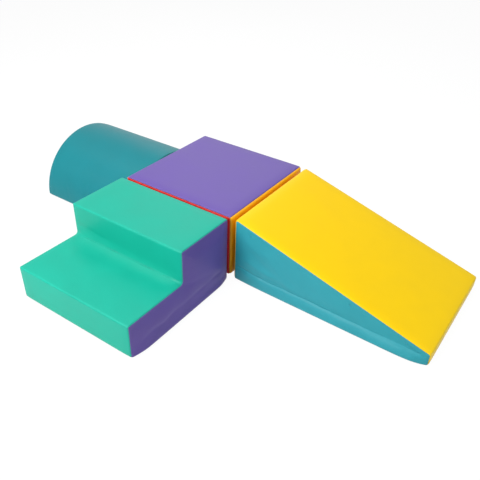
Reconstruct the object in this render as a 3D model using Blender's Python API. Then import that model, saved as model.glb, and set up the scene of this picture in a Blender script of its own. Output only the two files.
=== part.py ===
"""Soft play foam climber: a low square platform with two steps, a ramp and a half round set against
three of its sides. Each block is one foam core in a sewn cover that closes with a zip, and the blocks
hold together with hook and loop strips on the faces that meet.

Lengths are in metres and +Z is up. The origin is the middle of the platform's underside, the ramp runs
down along +X, the steps down along -Y, and the half round lies along -X.
"""

import math

import bmesh
import bpy
from mathutils import Matrix, Vector

# Cover cloth, seams and clearances: a block's faces swell by their crowns beyond its seam lines
CLOTH_THICKNESS = 0.0012
SEAM_CLEARANCE = 0.0003
FOAM_CLEARANCE = 0.0003
SEAT_CLEARANCE = 0.0003
PANEL_MARGIN = 0.045
LEAST_RADIUS = 0.002
MERGE_DISTANCE = 0.00003
NOSING_STEPS = 4
BASE_CORNER_STEPS = 4
INNER_CORNER_STEPS = 4
RING_SHARES = (0.2, 0.55, 1.0)
SMOOTH_ANGLE_DEGREES = 35

# Platform block
PLATFORM_LENGTH = 0.600
PLATFORM_WIDTH = 0.600
PLATFORM_HEIGHT = 0.306
PLATFORM_BASE_RADIUS = 0.010
PLATFORM_TOP_CROWN = 0.005
PLATFORM_STAIRS_SIDE_CROWN = 0.011
PLATFORM_RAMP_SIDE_CROWN = 0.012
PLATFORM_HALF_ROUND_SIDE_CROWN = 0.0026
PLATFORM_BACK_CROWN = 0.008

# Stairs block
STAIRS_WIDTH = 0.612
STAIRS_HEIGHT = 0.314
LOWER_STEP_HEIGHT = 0.160
UPPER_TREAD_DEPTH = 0.303
LOWER_TREAD_DEPTH = 0.310
STAIRS_NOSING_RADIUS = 0.010
STAIRS_INNER_CORNER_RADIUS = 0.016
STAIRS_BASE_RADIUS = 0.012
STAIRS_TREAD_CROWN = 0.005
STAIRS_SIDE_CROWN = 0.014
STAIRS_BACK_CROWN = 0.008

# Ramp block
RAMP_LENGTH = 0.896
RAMP_WIDTH = 0.598
RAMP_HEIGHT = 0.312
RAMP_LIP_HEIGHT = 0.056
RAMP_LIP_RADIUS = 0.010
RAMP_BASE_RADIUS = 0.010
RAMP_SIDE_SHIFT = -0.009
RAMP_SLOPE_CROWN = 0.008
RAMP_SIDE_CROWN = 0.012
RAMP_BACK_CROWN = 0.015
RAMP_SIDE_MARGIN_SHARE = 0.36

# Half round block
HALF_ROUND_RADIUS = 0.304
HALF_ROUND_HEIGHT = 0.300
HALF_ROUND_LENGTH = 0.606
HALF_ROUND_BASE_RADIUS = 0.010
HALF_ROUND_ARC_CROWN = 0.003
HALF_ROUND_INNER_END_CROWN = 0.0025
HALF_ROUND_OUTER_END_CROWN = 0.007
HALF_ROUND_ARC_STEPS = 22

# Hook and loop strips
STRIP_LENGTH = 0.360
STRIP_WIDTH = 0.050
STRIP_MIDDLE_HEIGHT = 0.130
STRIP_CORNER_RADIUS = 0.008
STRIP_CORNER_STEPS = 3
LOOP_THICKNESS = 0.0022
HOOK_THICKNESS = 0.0018

# Zips
PLATFORM_ZIP_LENGTH = 0.460
STAIRS_ZIP_LENGTH = 0.460
RAMP_ZIP_LENGTH = 0.520
HALF_ROUND_ZIP_LENGTH = 0.420
ZIP_START_GAP = 0.020
ZIP_EDGE_GAP = 0.004
ZIP_TAPE_WIDTH = 0.028
ZIP_TAPE_THICKNESS = 0.0008
ZIP_COIL_WIDTH = 0.0060
ZIP_COIL_HEIGHT = 0.0020
ZIP_COIL_TOP_SHARE = 0.7
ZIP_SLIT_WIDTH = 0.008
ZIP_SLIT_CORNER_RADIUS = 0.002
ZIP_SLIT_CORNER_STEPS = 1
ZIP_STOP_LENGTH = 0.004
ZIP_STOP_WIDTH = 0.0090
ZIP_STOP_HEIGHT = 0.0030
ZIP_STOP_TAPER = 0.0005
ZIP_RUNNING_CLEARANCE = 0.0003
SLIDER_LENGTH = 0.012
SLIDER_WALL = 0.0010
SLIDER_NOSE_FLARE = 0.0015
BAIL_LENGTH = 0.0085
BAIL_WIDTH = 0.0016
BAIL_WALL = 0.0011
BAIL_ROOT = 0.0004
PULL_LENGTH = 0.027
PULL_THICKNESS = 0.0012
PULL_EYE_WIDTH = 0.0072
PULL_TIP_WIDTH = 0.0050
PULL_BAR = 0.0012
PULL_CLEARANCE = 0.0004
PULL_TIP_STEPS = 6
CUT_OVERRUN = 0.002

# Surface colours and finishes, as linear red, green and blue
PURPLE_CLOTH = ("purple_leathercloth", (0.262, 0.162, 0.474), 0.45, 0.0)
MINT_CLOTH = ("mint_leathercloth", (0.060, 0.610, 0.440), 0.45, 0.0)
YELLOW_CLOTH = ("yellow_leathercloth", (0.930, 0.620, 0.020), 0.45, 0.0)
TEAL_CLOTH = ("teal_leathercloth", (0.040, 0.340, 0.420), 0.45, 0.0)
RED_CLOTH = ("red_leathercloth", (0.610, 0.040, 0.030), 0.45, 0.0)
ORANGE_CLOTH = ("orange_leathercloth", (0.800, 0.380, 0.020), 0.45, 0.0)
BASE_CLOTH = ("non_slip_base_cloth", (0.030, 0.030, 0.034), 0.85, 0.0)
FOAM = ("block_foam", (0.820, 0.800, 0.740), 0.95, 0.0)
ZIP_WEB = ("zip_tape", (0.030, 0.030, 0.034), 0.80, 0.0)
ZIP_METAL = ("zip_slider_metal", (0.450, 0.450, 0.470), 0.35, 1.0)
STRIP_WEB = ("hook_and_loop_strip", (0.025, 0.025, 0.028), 0.95, 0.0)


def rise(share):
    """Share of a panel's full crown that is reached at this share of its rolled margin."""
    inside = min(max(share, 0), 1)
    return 1 - (1 - inside) ** 2


def material(finish):
    """The finish's own material, made once and then shared."""
    name, colour, roughness, metallic = finish
    found = bpy.data.materials.get(name)
    if found:
        return found
    made = bpy.data.materials.new(name)
    made.use_nodes = True
    shader = made.node_tree.nodes["Principled BSDF"]
    shader.inputs["Base Color"].default_value = (*colour, 1)
    shader.inputs["Roughness"].default_value = roughness
    shader.inputs["Metallic"].default_value = metallic
    return made


def make_object(name, shape, finish, parent):
    """Turns a bmesh into a named object with outward faces, soft shading and one material."""
    bmesh.ops.recalc_face_normals(shape, faces=shape.faces)
    mesh = bpy.data.meshes.new(name)
    shape.to_mesh(mesh)
    shape.free()
    mesh.shade_smooth()
    mesh.set_sharp_from_angle(angle=math.radians(SMOOTH_ANGLE_DEGREES))
    mesh.materials.append(material(finish))
    made = bpy.data.objects.new(name, mesh)
    made.parent = parent
    bpy.context.scene.collection.objects.link(made)
    return made


def make_empty(name, matrix, parent=None):
    """An empty that carries a block or a moving piece at this place."""
    made = bpy.data.objects.new(name, None)
    made.parent = parent
    made.matrix_local = matrix
    bpy.context.scene.collection.objects.link(made)
    return made


def combine(target, tool, operation):
    """Adds the tool's shape to the target or cuts it out, and keeps the tool as a hidden guide."""
    tool.hide_render = True
    tool.display_type = "WIRE"
    step = target.modifiers.new(tool.name, "BOOLEAN")
    step.operation = operation
    step.object = tool


# Outlines: counter-clockwise corners in (along, up), the first edge lying on the floor


class Corner:
    """A corner of a block's outline, rounded by an arc, or sharp where its radius is zero."""

    def __init__(self, along, up, radius=0, steps=0, seam=False):
        self.place = Vector((along, up))
        self.radius = radius
        self.steps = steps
        self.seam = seam


def moved_corner(before, here, after, inset_before, inset_after):
    """Where two edges cross after each has moved inwards by its own inset, and how sharply they turn."""
    first = (here - before).normalized()
    second = (after - here).normalized()
    first_in = Vector((-first.y, first.x))
    second_in = Vector((-second.y, second.x))
    turn = first_in.cross(second_in)
    across = (inset_before * second_in.y - inset_after * first_in.y) / turn
    upward = (inset_after * first_in.x - inset_before * second_in.x) / turn
    return here + Vector((across, upward)), first, second, turn


def corner_arc(place, first, second, turn, radius, steps):
    """Points of the arc that rounds one corner, from the first edge to the second."""
    if not radius:
        return [place]
    angle = math.atan2(turn, first.dot(second))
    reach = radius * math.tan(abs(angle) / 2)
    start = place - first * reach
    side = math.copysign(1, turn)
    centre = start + Vector((-first.y, first.x)) * radius * side
    spoke = start - centre
    arc = []
    for step in range(steps + 1):
        swing = angle * step / steps
        turned = Matrix.Rotation(swing, 2) @ spoke
        arc.append(centre + turned)
    return arc


class Block:
    """One foam block: an outline carried across a width, whose lower edges tuck in at the floor.

    Every surface is worked out for an inset, which is the depth under the cloth's outer face, so the
    cloth's two faces and the foam core all come from the same rules and nest inside each other.
    """

    def __init__(self, name, corners, width, base_radius, side_margin, matrix):
        self.name = name
        self.corners = corners
        self.half_width = width / 2
        self.base_radius = base_radius
        self.side_margin = side_margin
        self.carrier = make_empty(name + "_block", matrix)
        self.edge_shares = [self._shares_on_edge(edge) for edge in range(len(corners))]

    def _straight_length(self, edge):
        """Length of an edge between the arcs of its two corners."""
        arcs = self._arcs(inset=0, ring=0)
        start = arcs[edge][-1]
        end = arcs[(edge + 1) % len(self.corners)][0]
        return (end - start).length

    def _shares_on_edge(self, edge):
        """Where an edge needs extra points, so that the crown can swell away from a seam or the floor."""
        length = self._straight_length(edge)
        if edge == 0 or length < 2 * PANEL_MARGIN:
            return []
        start, end = self.corners[edge], self.corners[(edge + 1) % len(self.corners)]
        seam_steps = [PANEL_MARGIN * share for share in RING_SHARES]
        floor_step = [max(PANEL_MARGIN - self.base_radius, LEAST_RADIUS)]
        from_start = seam_steps if start.seam else floor_step if edge == 1 else []
        from_end = seam_steps if end.seam else floor_step if end is self.corners[0] else []
        shares = [reach / length for reach in from_start]
        return shares + [1 - reach / length for reach in reversed(from_end)]

    def _floor_inset(self, inset, ring):
        """How far the lowest edge has moved up at this share of a side panel's margin."""
        radius = self.base_radius - inset
        straight = max(self.side_margin - radius, 0)
        return inset + radius * (1 - math.cos(ring * math.pi / 2)) + straight * ring**2

    def _arcs(self, inset, ring):
        """The arc points of every corner, for this depth and this share of the margin."""
        count = len(self.corners)
        moved = inset + ring * self.side_margin
        edge_insets = [self._floor_inset(inset, ring)] + [moved] * (count - 1)
        arcs = []
        for index, corner in enumerate(self.corners):
            before = self.corners[index - 1].place
            after = self.corners[(index + 1) % count].place
            place, first, second, turn = moved_corner(
                before, corner.place, after, edge_insets[index - 1], edge_insets[index]
            )
            radius = 0
            if corner.radius:
                radius = max(corner.radius - math.copysign(moved, turn), LEAST_RADIUS)
            arcs.append(corner_arc(place, first, second, turn, radius, corner.steps))
        return arcs

    def loop(self, inset, ring=0):
        """All points of the outline in order, with the first and last point number of each corner."""
        arcs = self._arcs(inset, ring)
        points, spans = [], []
        for index, arc in enumerate(arcs):
            spans.append((len(points), len(points) + len(arc) - 1))
            points += arc
            start, end = arc[-1], arcs[(index + 1) % len(arcs)][0]
            points += [start.lerp(end, share) for share in self.edge_shares[index]]
        return points, spans

    def reach_across(self, up, inset):
        """Half width at this height: it draws in by an arc where the side tucks under at the floor."""
        radius = self.base_radius - inset
        below = min(max(radius - (up - inset), 0), radius)
        return self.half_width - inset - radius + math.sqrt(radius**2 - below**2)

    def run_rows(self, start, end, crown, inset, trim):
        """Rows of points for the sheet that follows the outline from one corner to another."""
        points, spans = self.loop(inset)
        count = len(points)
        first, last = spans[start][0], spans[end][1]
        if (start, end) == (0, 1):
            first, last = spans[0][1], spans[1][0]
        if last <= first:
            last += count
        numbers = range(first, last + 1)
        places = [points[number % count] for number in numbers]
        travelled = [0]
        for before, after in zip(places, places[1:]):
            travelled.append(travelled[-1] + (after - before).length)
        rows = []
        for index, number in enumerate(numbers):
            here = points[number % count]
            before, after = points[(number - 1) % count], points[(number + 1) % count]
            way = ((here - before).normalized() + (after - here).normalized()).normalized()
            outward = Vector((way.y, -way.x))
            swell = crown * rise((here.y - inset) / PANEL_MARGIN)
            if self.corners[start].seam:
                swell *= rise(travelled[index] / PANEL_MARGIN)
            if self.corners[end].seam:
                swell *= rise((travelled[-1] - travelled[index]) / PANEL_MARGIN)
            rows.append(self._row_across(here, outward, swell, inset, trim))
        for last_row, inner_row in ((0, 1), (-1, -2)):
            pairs = zip(rows[last_row], rows[inner_row])
            rows[last_row] = [place + (inner - place).normalized() * trim for place, inner in pairs]
        return rows

    def _row_across(self, here, outward, swell, inset, trim):
        """One row of a sheet from edge to edge of the block, lifted towards its middle."""
        reach = self.reach_across(here.y, inset)
        near_side = [(-(reach - trim), 0)]
        near_side += [(-(reach - PANEL_MARGIN * share), rise(share)) for share in RING_SHARES]
        far_side = [(-across, lift) for across, lift in reversed(near_side)]
        row = []
        for across, lift in near_side + far_side:
            lifted = here + outward * swell * lift
            row.append(Vector((lifted.x, across, lifted.y)))
        return row

    def side_rings(self, side, crown, inset, trim):
        """Rings of points for a side panel, from its seam inwards to its flat middle."""
        rings = []
        for share in (trim / self.side_margin, *RING_SHARES):
            points, _ = self.loop(inset, share)
            ring = []
            for point in points:
                across = self.reach_across(point.y, inset) + crown * rise(share)
                ring.append(Vector((point.x, side * across, point.y)))
            rings.append(ring)
        return rings


# Meshes built from rows and rings


def add_points(shape, places):
    """The places as vertices of the shape, in order."""
    return [shape.verts.new(place) for place in places]


def skin_rows(shape, rows):
    """Faces between neighbouring rows of points."""
    for lower, upper in zip(rows, rows[1:]):
        for index in range(len(lower) - 1):
            shape.faces.new((lower[index], lower[index + 1], upper[index + 1], upper[index]))


def skin_rings(shape, rings, fill=True):
    """Faces between neighbouring closed rings, and one face inside the last."""
    for outer, inner in zip(rings, rings[1:]):
        count = len(outer)
        for index in range(count):
            after = (index + 1) % count
            shape.faces.new((outer[index], outer[after], inner[after], inner[index]))
    if fill:
        shape.faces.new(rings[-1])


def border(rows):
    """The closed ring of points round a sheet's edge."""
    right = [row[-1] for row in rows[1:-1]]
    left = [row[0] for row in reversed(rows[1:-1])]
    return rows[0] + right + list(reversed(rows[-1])) + left


def wrap_panel(block, name, start, end, crown, finish):
    """A piece of cloth that follows the outline, with its own thickness."""
    shape = bmesh.new()
    faces = []
    for inset in (0, CLOTH_THICKNESS):
        rows = block.run_rows(start, end, crown, inset, SEAM_CLEARANCE)
        faces.append([add_points(shape, row) for row in rows])
    outer, inner = faces
    skin_rows(shape, outer)
    skin_rows(shape, inner)
    skin_rings(shape, [border(outer), border(inner)], fill=False)
    return make_object(name, shape, finish, block.carrier)


def side_panel(block, name, side, crown, finish):
    """A piece of cloth that closes one side of a block, with its own thickness."""
    shape = bmesh.new()
    faces = []
    for inset in (0, CLOTH_THICKNESS):
        rings = block.side_rings(side, crown, inset, SEAM_CLEARANCE)
        faces.append([add_points(shape, ring) for ring in rings])
    outer, inner = faces
    skin_rings(shape, outer)
    skin_rings(shape, inner)
    skin_rings(shape, [outer[0], inner[0]], fill=False)
    return make_object(name, shape, finish, block.carrier)


def foam_core(block, runs, side_crowns):
    """The block's foam, which fills its cover with a small clearance all round."""
    shape = bmesh.new()
    inset = CLOTH_THICKNESS + FOAM_CLEARANCE
    for start, end, crown in runs:
        rows = block.run_rows(start, end, crown, inset, trim=0)
        skin_rows(shape, [add_points(shape, row) for row in rows])
    for side, crown in side_crowns:
        rings = block.side_rings(side, crown, inset, trim=0)
        skin_rings(shape, [add_points(shape, ring) for ring in rings])
    bmesh.ops.remove_doubles(shape, verts=shape.verts, dist=MERGE_DISTANCE)
    return make_object(block.name + "_foam", shape, FOAM, block.carrier)


def extruded(outline, depth):
    """A flat outline in XY given a depth along +Z."""
    shape = bmesh.new()
    low = add_points(shape, [Vector((place.x, place.y, 0)) for place in outline])
    high = add_points(shape, [Vector((place.x, place.y, depth)) for place in outline])
    shape.faces.new(low)
    shape.faces.new(high)
    skin_rings(shape, [low, high], fill=False)
    return shape


def lofted(sections):
    """A solid through closed sections, with both ends filled."""
    shape = bmesh.new()
    rings = [add_points(shape, section) for section in sections]
    skin_rings(shape, rings)
    shape.faces.new(rings[0])
    return shape


def rounded_rectangle(length, width, radius, steps):
    """Points of a rectangle about the origin with round corners."""
    half = Vector((length / 2, width / 2))
    points = []
    for quarter in range(4):
        side = Vector((1 if quarter in (0, 3) else -1, 1 if quarter in (0, 1) else -1))
        centre = Vector((side.x * (half.x - radius), side.y * (half.y - radius)))
        for step in range(steps + 1):
            angle = math.pi / 2 * (quarter + step / steps)
            points.append(centre + Vector((math.cos(angle), math.sin(angle))) * radius)
    return points


# Hook and loop strips: a strip's own +Z is the way its block's face looks


def facing(direction):
    """Rotation whose Z points this way, with Y kept upright."""
    upright = Vector((0, 0, 1))
    along = upright.cross(direction)
    return Matrix((along, upright, direction)).transposed().to_4x4()


def fastening_strip(block, name, place, direction, thickness):
    """A sewn strip that lies on a block's face, at a place in the block's own frame."""
    shape = extruded(
        rounded_rectangle(STRIP_LENGTH, STRIP_WIDTH, STRIP_CORNER_RADIUS, STRIP_CORNER_STEPS), thickness
    )
    made = make_object(name, shape, STRIP_WEB, block.carrier)
    seat = Vector(place) + Vector(direction) * SEAT_CLEARANCE
    made.matrix_local = Matrix.Translation(seat) @ facing(Vector(direction))
    return made


# Zips: along +X, across +Y, out of the cover +Z


def zip_tape_section(along, coil_width, coil_height):
    """Section across the closed tape, with the coil standing on it."""
    tape, coil = ZIP_TAPE_WIDTH / 2, coil_width / 2
    top = ZIP_TAPE_THICKNESS + coil_height
    crest = coil * ZIP_COIL_TOP_SHARE
    half = [(tape, 0), (tape, ZIP_TAPE_THICKNESS), (coil, ZIP_TAPE_THICKNESS), (crest, top)]
    places = half + [(-across, up) for across, up in reversed(half)]
    return [Vector((along, across, up)) for across, up in places]


def zip_tape(block, length, rail):
    """The closed tape and coil, with a stop at each end."""
    half = length / 2
    stop_inner = half - ZIP_STOP_LENGTH
    coil_end = stop_inner - ZIP_STOP_TAPER
    stop = (ZIP_STOP_WIDTH, ZIP_STOP_HEIGHT)
    coil = (ZIP_COIL_WIDTH, ZIP_COIL_HEIGHT)
    stations = [(coil_end, coil), (stop_inner, stop), (half, stop)]
    stations = [(-along, size) for along, size in reversed(stations)] + stations
    sections = [zip_tape_section(along, *size) for along, size in stations]
    return make_object(block.name + "_zip_tape", lofted(sections), ZIP_WEB, rail)


def slider_heights():
    """Underside, inner roof and outer top of the slider above the cover."""
    underside = ZIP_TAPE_THICKNESS + ZIP_RUNNING_CLEARANCE
    roof = ZIP_TAPE_THICKNESS + ZIP_COIL_HEIGHT + ZIP_RUNNING_CLEARANCE
    return underside, roof, roof + SLIDER_WALL


def pull_axis_height():
    """Height of the pull's bar, which turns under the bail on top of the slider."""
    return slider_heights()[2] + PULL_CLEARANCE + PULL_BAR / math.sqrt(2)


def zip_slider(block, rail, rest):
    """The slider: a channel over the coil, wider at its nose, with a bail on top for the pull."""
    underside, roof, top = slider_heights()
    inner = ZIP_COIL_WIDTH / 2 + ZIP_RUNNING_CLEARANCE
    half = SLIDER_LENGTH / 2
    sections = []
    for along, flare in ((-half, 0), (0, 0), (half, SLIDER_NOSE_FLARE)):
        wall = inner + SLIDER_WALL + flare
        side = [(wall, underside), (wall, top)]
        channel = [(-(inner + flare), underside), (-(inner + flare), roof)]
        places = side + [(-across, up) for across, up in reversed(side)]
        places += channel + [(-across, up) for across, up in reversed(channel)]
        sections.append([Vector((along, across, up)) for across, up in places])
    slider = make_object(block.name + "_zip_slider", lofted(sections), ZIP_METAL, rail)
    slider.location = (rest, 0, 0)
    bail_top = pull_axis_height() + PULL_BAR / math.sqrt(2) + PULL_CLEARANCE + BAIL_WALL
    outer, hollow = BAIL_LENGTH / 2, BAIL_LENGTH / 2 - BAIL_WALL
    foot, shoulder = top - BAIL_ROOT, bail_top - BAIL_WALL
    arch = [(-outer, foot), (-outer, shoulder), (-hollow, bail_top), (hollow, bail_top), (outer, shoulder)]
    arch += [(outer, foot), (hollow, foot), (hollow, shoulder), (-hollow, shoulder), (-hollow, foot)]
    bail_shape = extruded([Vector(place) for place in arch], BAIL_WIDTH)
    upright = Matrix.Translation((0, BAIL_WIDTH / 2, 0)) @ Matrix.Rotation(math.pi / 2, 4, "X")
    bail_shape.transform(upright)
    bail = make_object(block.name + "_zip_bail_guide", bail_shape, ZIP_METAL, slider)
    combine(slider, bail, "UNION")
    return slider


def zip_pull(block, slider):
    """The pull tab: a stamped plate whose eye goes round the bail, lying along the zip at rest."""
    bar = PULL_BAR / 2
    eye_end = BAIL_LENGTH / 2 + PULL_CLEARANCE
    tip_radius = PULL_TIP_WIDTH / 2
    tip = PULL_LENGTH - tip_radius
    outline = [Vector((-bar, -PULL_EYE_WIDTH / 2)), Vector((eye_end, -PULL_EYE_WIDTH / 2))]
    for step in range(PULL_TIP_STEPS + 1):
        angle = math.pi * (step / PULL_TIP_STEPS) - math.pi / 2
        outline.append(Vector((tip + tip_radius * math.cos(angle), tip_radius * math.sin(angle))))
    outline += [Vector((eye_end, PULL_EYE_WIDTH / 2)), Vector((-bar, PULL_EYE_WIDTH / 2))]
    plate = extruded(outline, PULL_THICKNESS)
    plate.transform(Matrix.Translation((0, 0, -PULL_THICKNESS / 2)))
    pull = make_object(block.name + "_zip_pull", plate, ZIP_METAL, slider)
    pull.location = (0, 0, pull_axis_height())
    eye_width = BAIL_WIDTH + 2 * PULL_CLEARANCE
    eye = [Vector((bar, -eye_width / 2)), Vector((eye_end, -eye_width / 2))]
    eye += [Vector((eye_end, eye_width / 2)), Vector((bar, eye_width / 2))]
    hole = extruded(eye, PULL_THICKNESS + 2 * CUT_OVERRUN)
    hole.transform(Matrix.Translation((0, 0, -PULL_THICKNESS / 2 - CUT_OVERRUN)))
    combine(pull, make_object(block.name + "_zip_eye_guide", hole, ZIP_METAL, pull), "DIFFERENCE")
    return pull


def add_zip(block, panel, side, crown, middle, length):
    """Cuts the slit in a side panel and seats the zip over it, low on the panel's flat middle."""
    height = max(block.side_margin, block.base_radius) + ZIP_EDGE_GAP + ZIP_TAPE_WIDTH / 2
    face = block.half_width + crown
    outward = Vector((0, side, 0))
    slit_depth = CLOTH_THICKNESS + FOAM_CLEARANCE / 2
    slit_length = length - 2 * ZIP_STOP_LENGTH
    corner = (ZIP_SLIT_CORNER_RADIUS, ZIP_SLIT_CORNER_STEPS)
    slit = extruded(rounded_rectangle(slit_length, ZIP_SLIT_WIDTH, *corner), slit_depth + CUT_OVERRUN)
    guide = make_object(block.name + "_zip_slit_guide", slit, ZIP_WEB, block.carrier)
    place = Vector((middle, side * face, height))
    guide.matrix_local = Matrix.Translation(place - outward * slit_depth) @ facing(outward)
    combine(panel, guide, "DIFFERENCE")
    seat = Matrix.Translation(place + outward * SEAT_CLEARANCE) @ facing(outward)
    rail = make_empty(block.name + "_zip_rail", seat, block.carrier)
    zip_tape(block, length, rail)
    rest = -length / 2 + ZIP_STOP_LENGTH + ZIP_STOP_TAPER + ZIP_RUNNING_CLEARANCE + SLIDER_LENGTH / 2
    slider = zip_slider(block, rail, rest)
    zip_pull(block, slider)


# Blocks


def meeting_gap(crown, other_crown):
    """Distance between the seam lines of two blocks whose strips hold their swollen faces together."""
    return crown + other_crown + LOOP_THICKNESS + HOOK_THICKNESS + 3 * SEAT_CLEARANCE


def quarter_turned(x, y):
    """Placement of a block whose own +X runs along the set's -Y."""
    return Matrix.Translation((x, y, 0)) @ Matrix.Rotation(-math.pi / 2, 4, "Z")


def base_corner(along, radius):
    """A corner at the floor, where the cover tucks under the block."""
    return Corner(along, 0, radius, BASE_CORNER_STEPS)


def build_platform():
    """The square block in the middle, with a panel of its own colour on each side."""
    half = PLATFORM_LENGTH / 2
    corners = [
        base_corner(-half, PLATFORM_BASE_RADIUS),
        base_corner(half, PLATFORM_BASE_RADIUS),
        Corner(half, PLATFORM_HEIGHT, seam=True),
        Corner(-half, PLATFORM_HEIGHT, seam=True),
    ]
    block = Block("platform", corners, PLATFORM_WIDTH, PLATFORM_BASE_RADIUS, PANEL_MARGIN, Matrix.Identity(4))
    ramp_side, half_round_side = PLATFORM_RAMP_SIDE_CROWN, PLATFORM_HALF_ROUND_SIDE_CROWN
    foam_core(
        block,
        [(0, 1, 0), (1, 2, ramp_side), (2, 3, PLATFORM_TOP_CROWN), (3, 0, half_round_side)],
        [(-1, PLATFORM_STAIRS_SIDE_CROWN), (1, PLATFORM_BACK_CROWN)],
    )
    wrap_panel(block, "platform_base_cover", 0, 1, 0, BASE_CLOTH)
    wrap_panel(block, "platform_ramp_side_cover", 1, 2, ramp_side, ORANGE_CLOTH)
    wrap_panel(block, "platform_top_cover", 2, 3, PLATFORM_TOP_CROWN, PURPLE_CLOTH)
    wrap_panel(block, "platform_half_round_side_cover", 3, 0, half_round_side, ORANGE_CLOTH)
    side_panel(block, "platform_stairs_side_cover", -1, PLATFORM_STAIRS_SIDE_CROWN, RED_CLOTH)
    back = side_panel(block, "platform_back_cover", 1, PLATFORM_BACK_CROWN, RED_CLOTH)
    add_zip(block, back, 1, PLATFORM_BACK_CROWN, 0, PLATFORM_ZIP_LENGTH)
    for name, place, direction in (
        ("ramp", (half + ramp_side, 0, STRIP_MIDDLE_HEIGHT), (1, 0, 0)),
        ("half_round", (-half - half_round_side, 0, STRIP_MIDDLE_HEIGHT), (-1, 0, 0)),
        ("stairs", (0, -PLATFORM_WIDTH / 2 - PLATFORM_STAIRS_SIDE_CROWN, STRIP_MIDDLE_HEIGHT), (0, -1, 0)),
    ):
        fastening_strip(block, "platform_" + name + "_loop_strip", place, direction, LOOP_THICKNESS)


def build_stairs():
    """Two steps: one sheet over both treads and risers, between two side panels."""
    depth = UPPER_TREAD_DEPTH + LOWER_TREAD_DEPTH
    corners = [
        base_corner(0, STAIRS_BASE_RADIUS),
        base_corner(depth, STAIRS_BASE_RADIUS),
        Corner(depth, LOWER_STEP_HEIGHT, STAIRS_NOSING_RADIUS, NOSING_STEPS),
        Corner(UPPER_TREAD_DEPTH, LOWER_STEP_HEIGHT, STAIRS_INNER_CORNER_RADIUS, INNER_CORNER_STEPS),
        Corner(UPPER_TREAD_DEPTH, STAIRS_HEIGHT, STAIRS_NOSING_RADIUS, NOSING_STEPS),
        Corner(0, STAIRS_HEIGHT, seam=True),
    ]
    gap = meeting_gap(PLATFORM_STAIRS_SIDE_CROWN, STAIRS_BACK_CROWN)
    place = quarter_turned(0, -PLATFORM_WIDTH / 2 - gap)
    block = Block("stairs", corners, STAIRS_WIDTH, STAIRS_BASE_RADIUS, PANEL_MARGIN, place)
    foam_core(
        block,
        [(0, 1, 0), (1, 5, STAIRS_TREAD_CROWN), (5, 0, STAIRS_BACK_CROWN)],
        [(-1, STAIRS_SIDE_CROWN), (1, STAIRS_SIDE_CROWN)],
    )
    wrap_panel(block, "stairs_base_cover", 0, 1, 0, BASE_CLOTH)
    wrap_panel(block, "stairs_tread_cover", 1, 5, STAIRS_TREAD_CROWN, MINT_CLOTH)
    wrap_panel(block, "stairs_back_cover", 5, 0, STAIRS_BACK_CROWN, MINT_CLOTH)
    side_panel(block, "stairs_right_side_cover", 1, STAIRS_SIDE_CROWN, PURPLE_CLOTH)
    left = side_panel(block, "stairs_left_side_cover", -1, STAIRS_SIDE_CROWN, PURPLE_CLOTH)
    middle = PANEL_MARGIN + ZIP_START_GAP + STAIRS_ZIP_LENGTH / 2
    add_zip(block, left, -1, STAIRS_SIDE_CROWN, middle, STAIRS_ZIP_LENGTH)
    strip_place = (-STAIRS_BACK_CROWN, 0, STRIP_MIDDLE_HEIGHT)
    fastening_strip(block, "stairs_hook_strip", strip_place, (-1, 0, 0), HOOK_THICKNESS)


def build_ramp():
    """The wedge: one sheet over the slope and its low lip, between two side panels."""
    corners = [
        base_corner(0, RAMP_BASE_RADIUS),
        base_corner(RAMP_LENGTH, RAMP_BASE_RADIUS),
        Corner(RAMP_LENGTH, RAMP_LIP_HEIGHT, RAMP_LIP_RADIUS, NOSING_STEPS),
        Corner(0, RAMP_HEIGHT, seam=True),
    ]
    gap = meeting_gap(PLATFORM_RAMP_SIDE_CROWN, RAMP_BACK_CROWN)
    place = Matrix.Translation((PLATFORM_LENGTH / 2 + gap, RAMP_SIDE_SHIFT, 0))
    margin = RAMP_LIP_HEIGHT * RAMP_SIDE_MARGIN_SHARE
    block = Block("ramp", corners, RAMP_WIDTH, RAMP_BASE_RADIUS, margin, place)
    foam_core(
        block,
        [(0, 1, 0), (1, 3, RAMP_SLOPE_CROWN), (3, 0, RAMP_BACK_CROWN)],
        [(-1, RAMP_SIDE_CROWN), (1, RAMP_SIDE_CROWN)],
    )
    wrap_panel(block, "ramp_base_cover", 0, 1, 0, BASE_CLOTH)
    wrap_panel(block, "ramp_slope_cover", 1, 3, RAMP_SLOPE_CROWN, YELLOW_CLOTH)
    wrap_panel(block, "ramp_back_cover", 3, 0, RAMP_BACK_CROWN, TEAL_CLOTH)
    side_panel(block, "ramp_near_side_cover", -1, RAMP_SIDE_CROWN, TEAL_CLOTH)
    far = side_panel(block, "ramp_far_side_cover", 1, RAMP_SIDE_CROWN, TEAL_CLOTH)
    middle = PANEL_MARGIN + ZIP_START_GAP + RAMP_ZIP_LENGTH / 2
    add_zip(block, far, 1, RAMP_SIDE_CROWN, middle, RAMP_ZIP_LENGTH)
    strip_place = (-RAMP_BACK_CROWN, -RAMP_SIDE_SHIFT, STRIP_MIDDLE_HEIGHT)
    fastening_strip(block, "ramp_hook_strip", strip_place, (-1, 0, 0), HOOK_THICKNESS)


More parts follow.
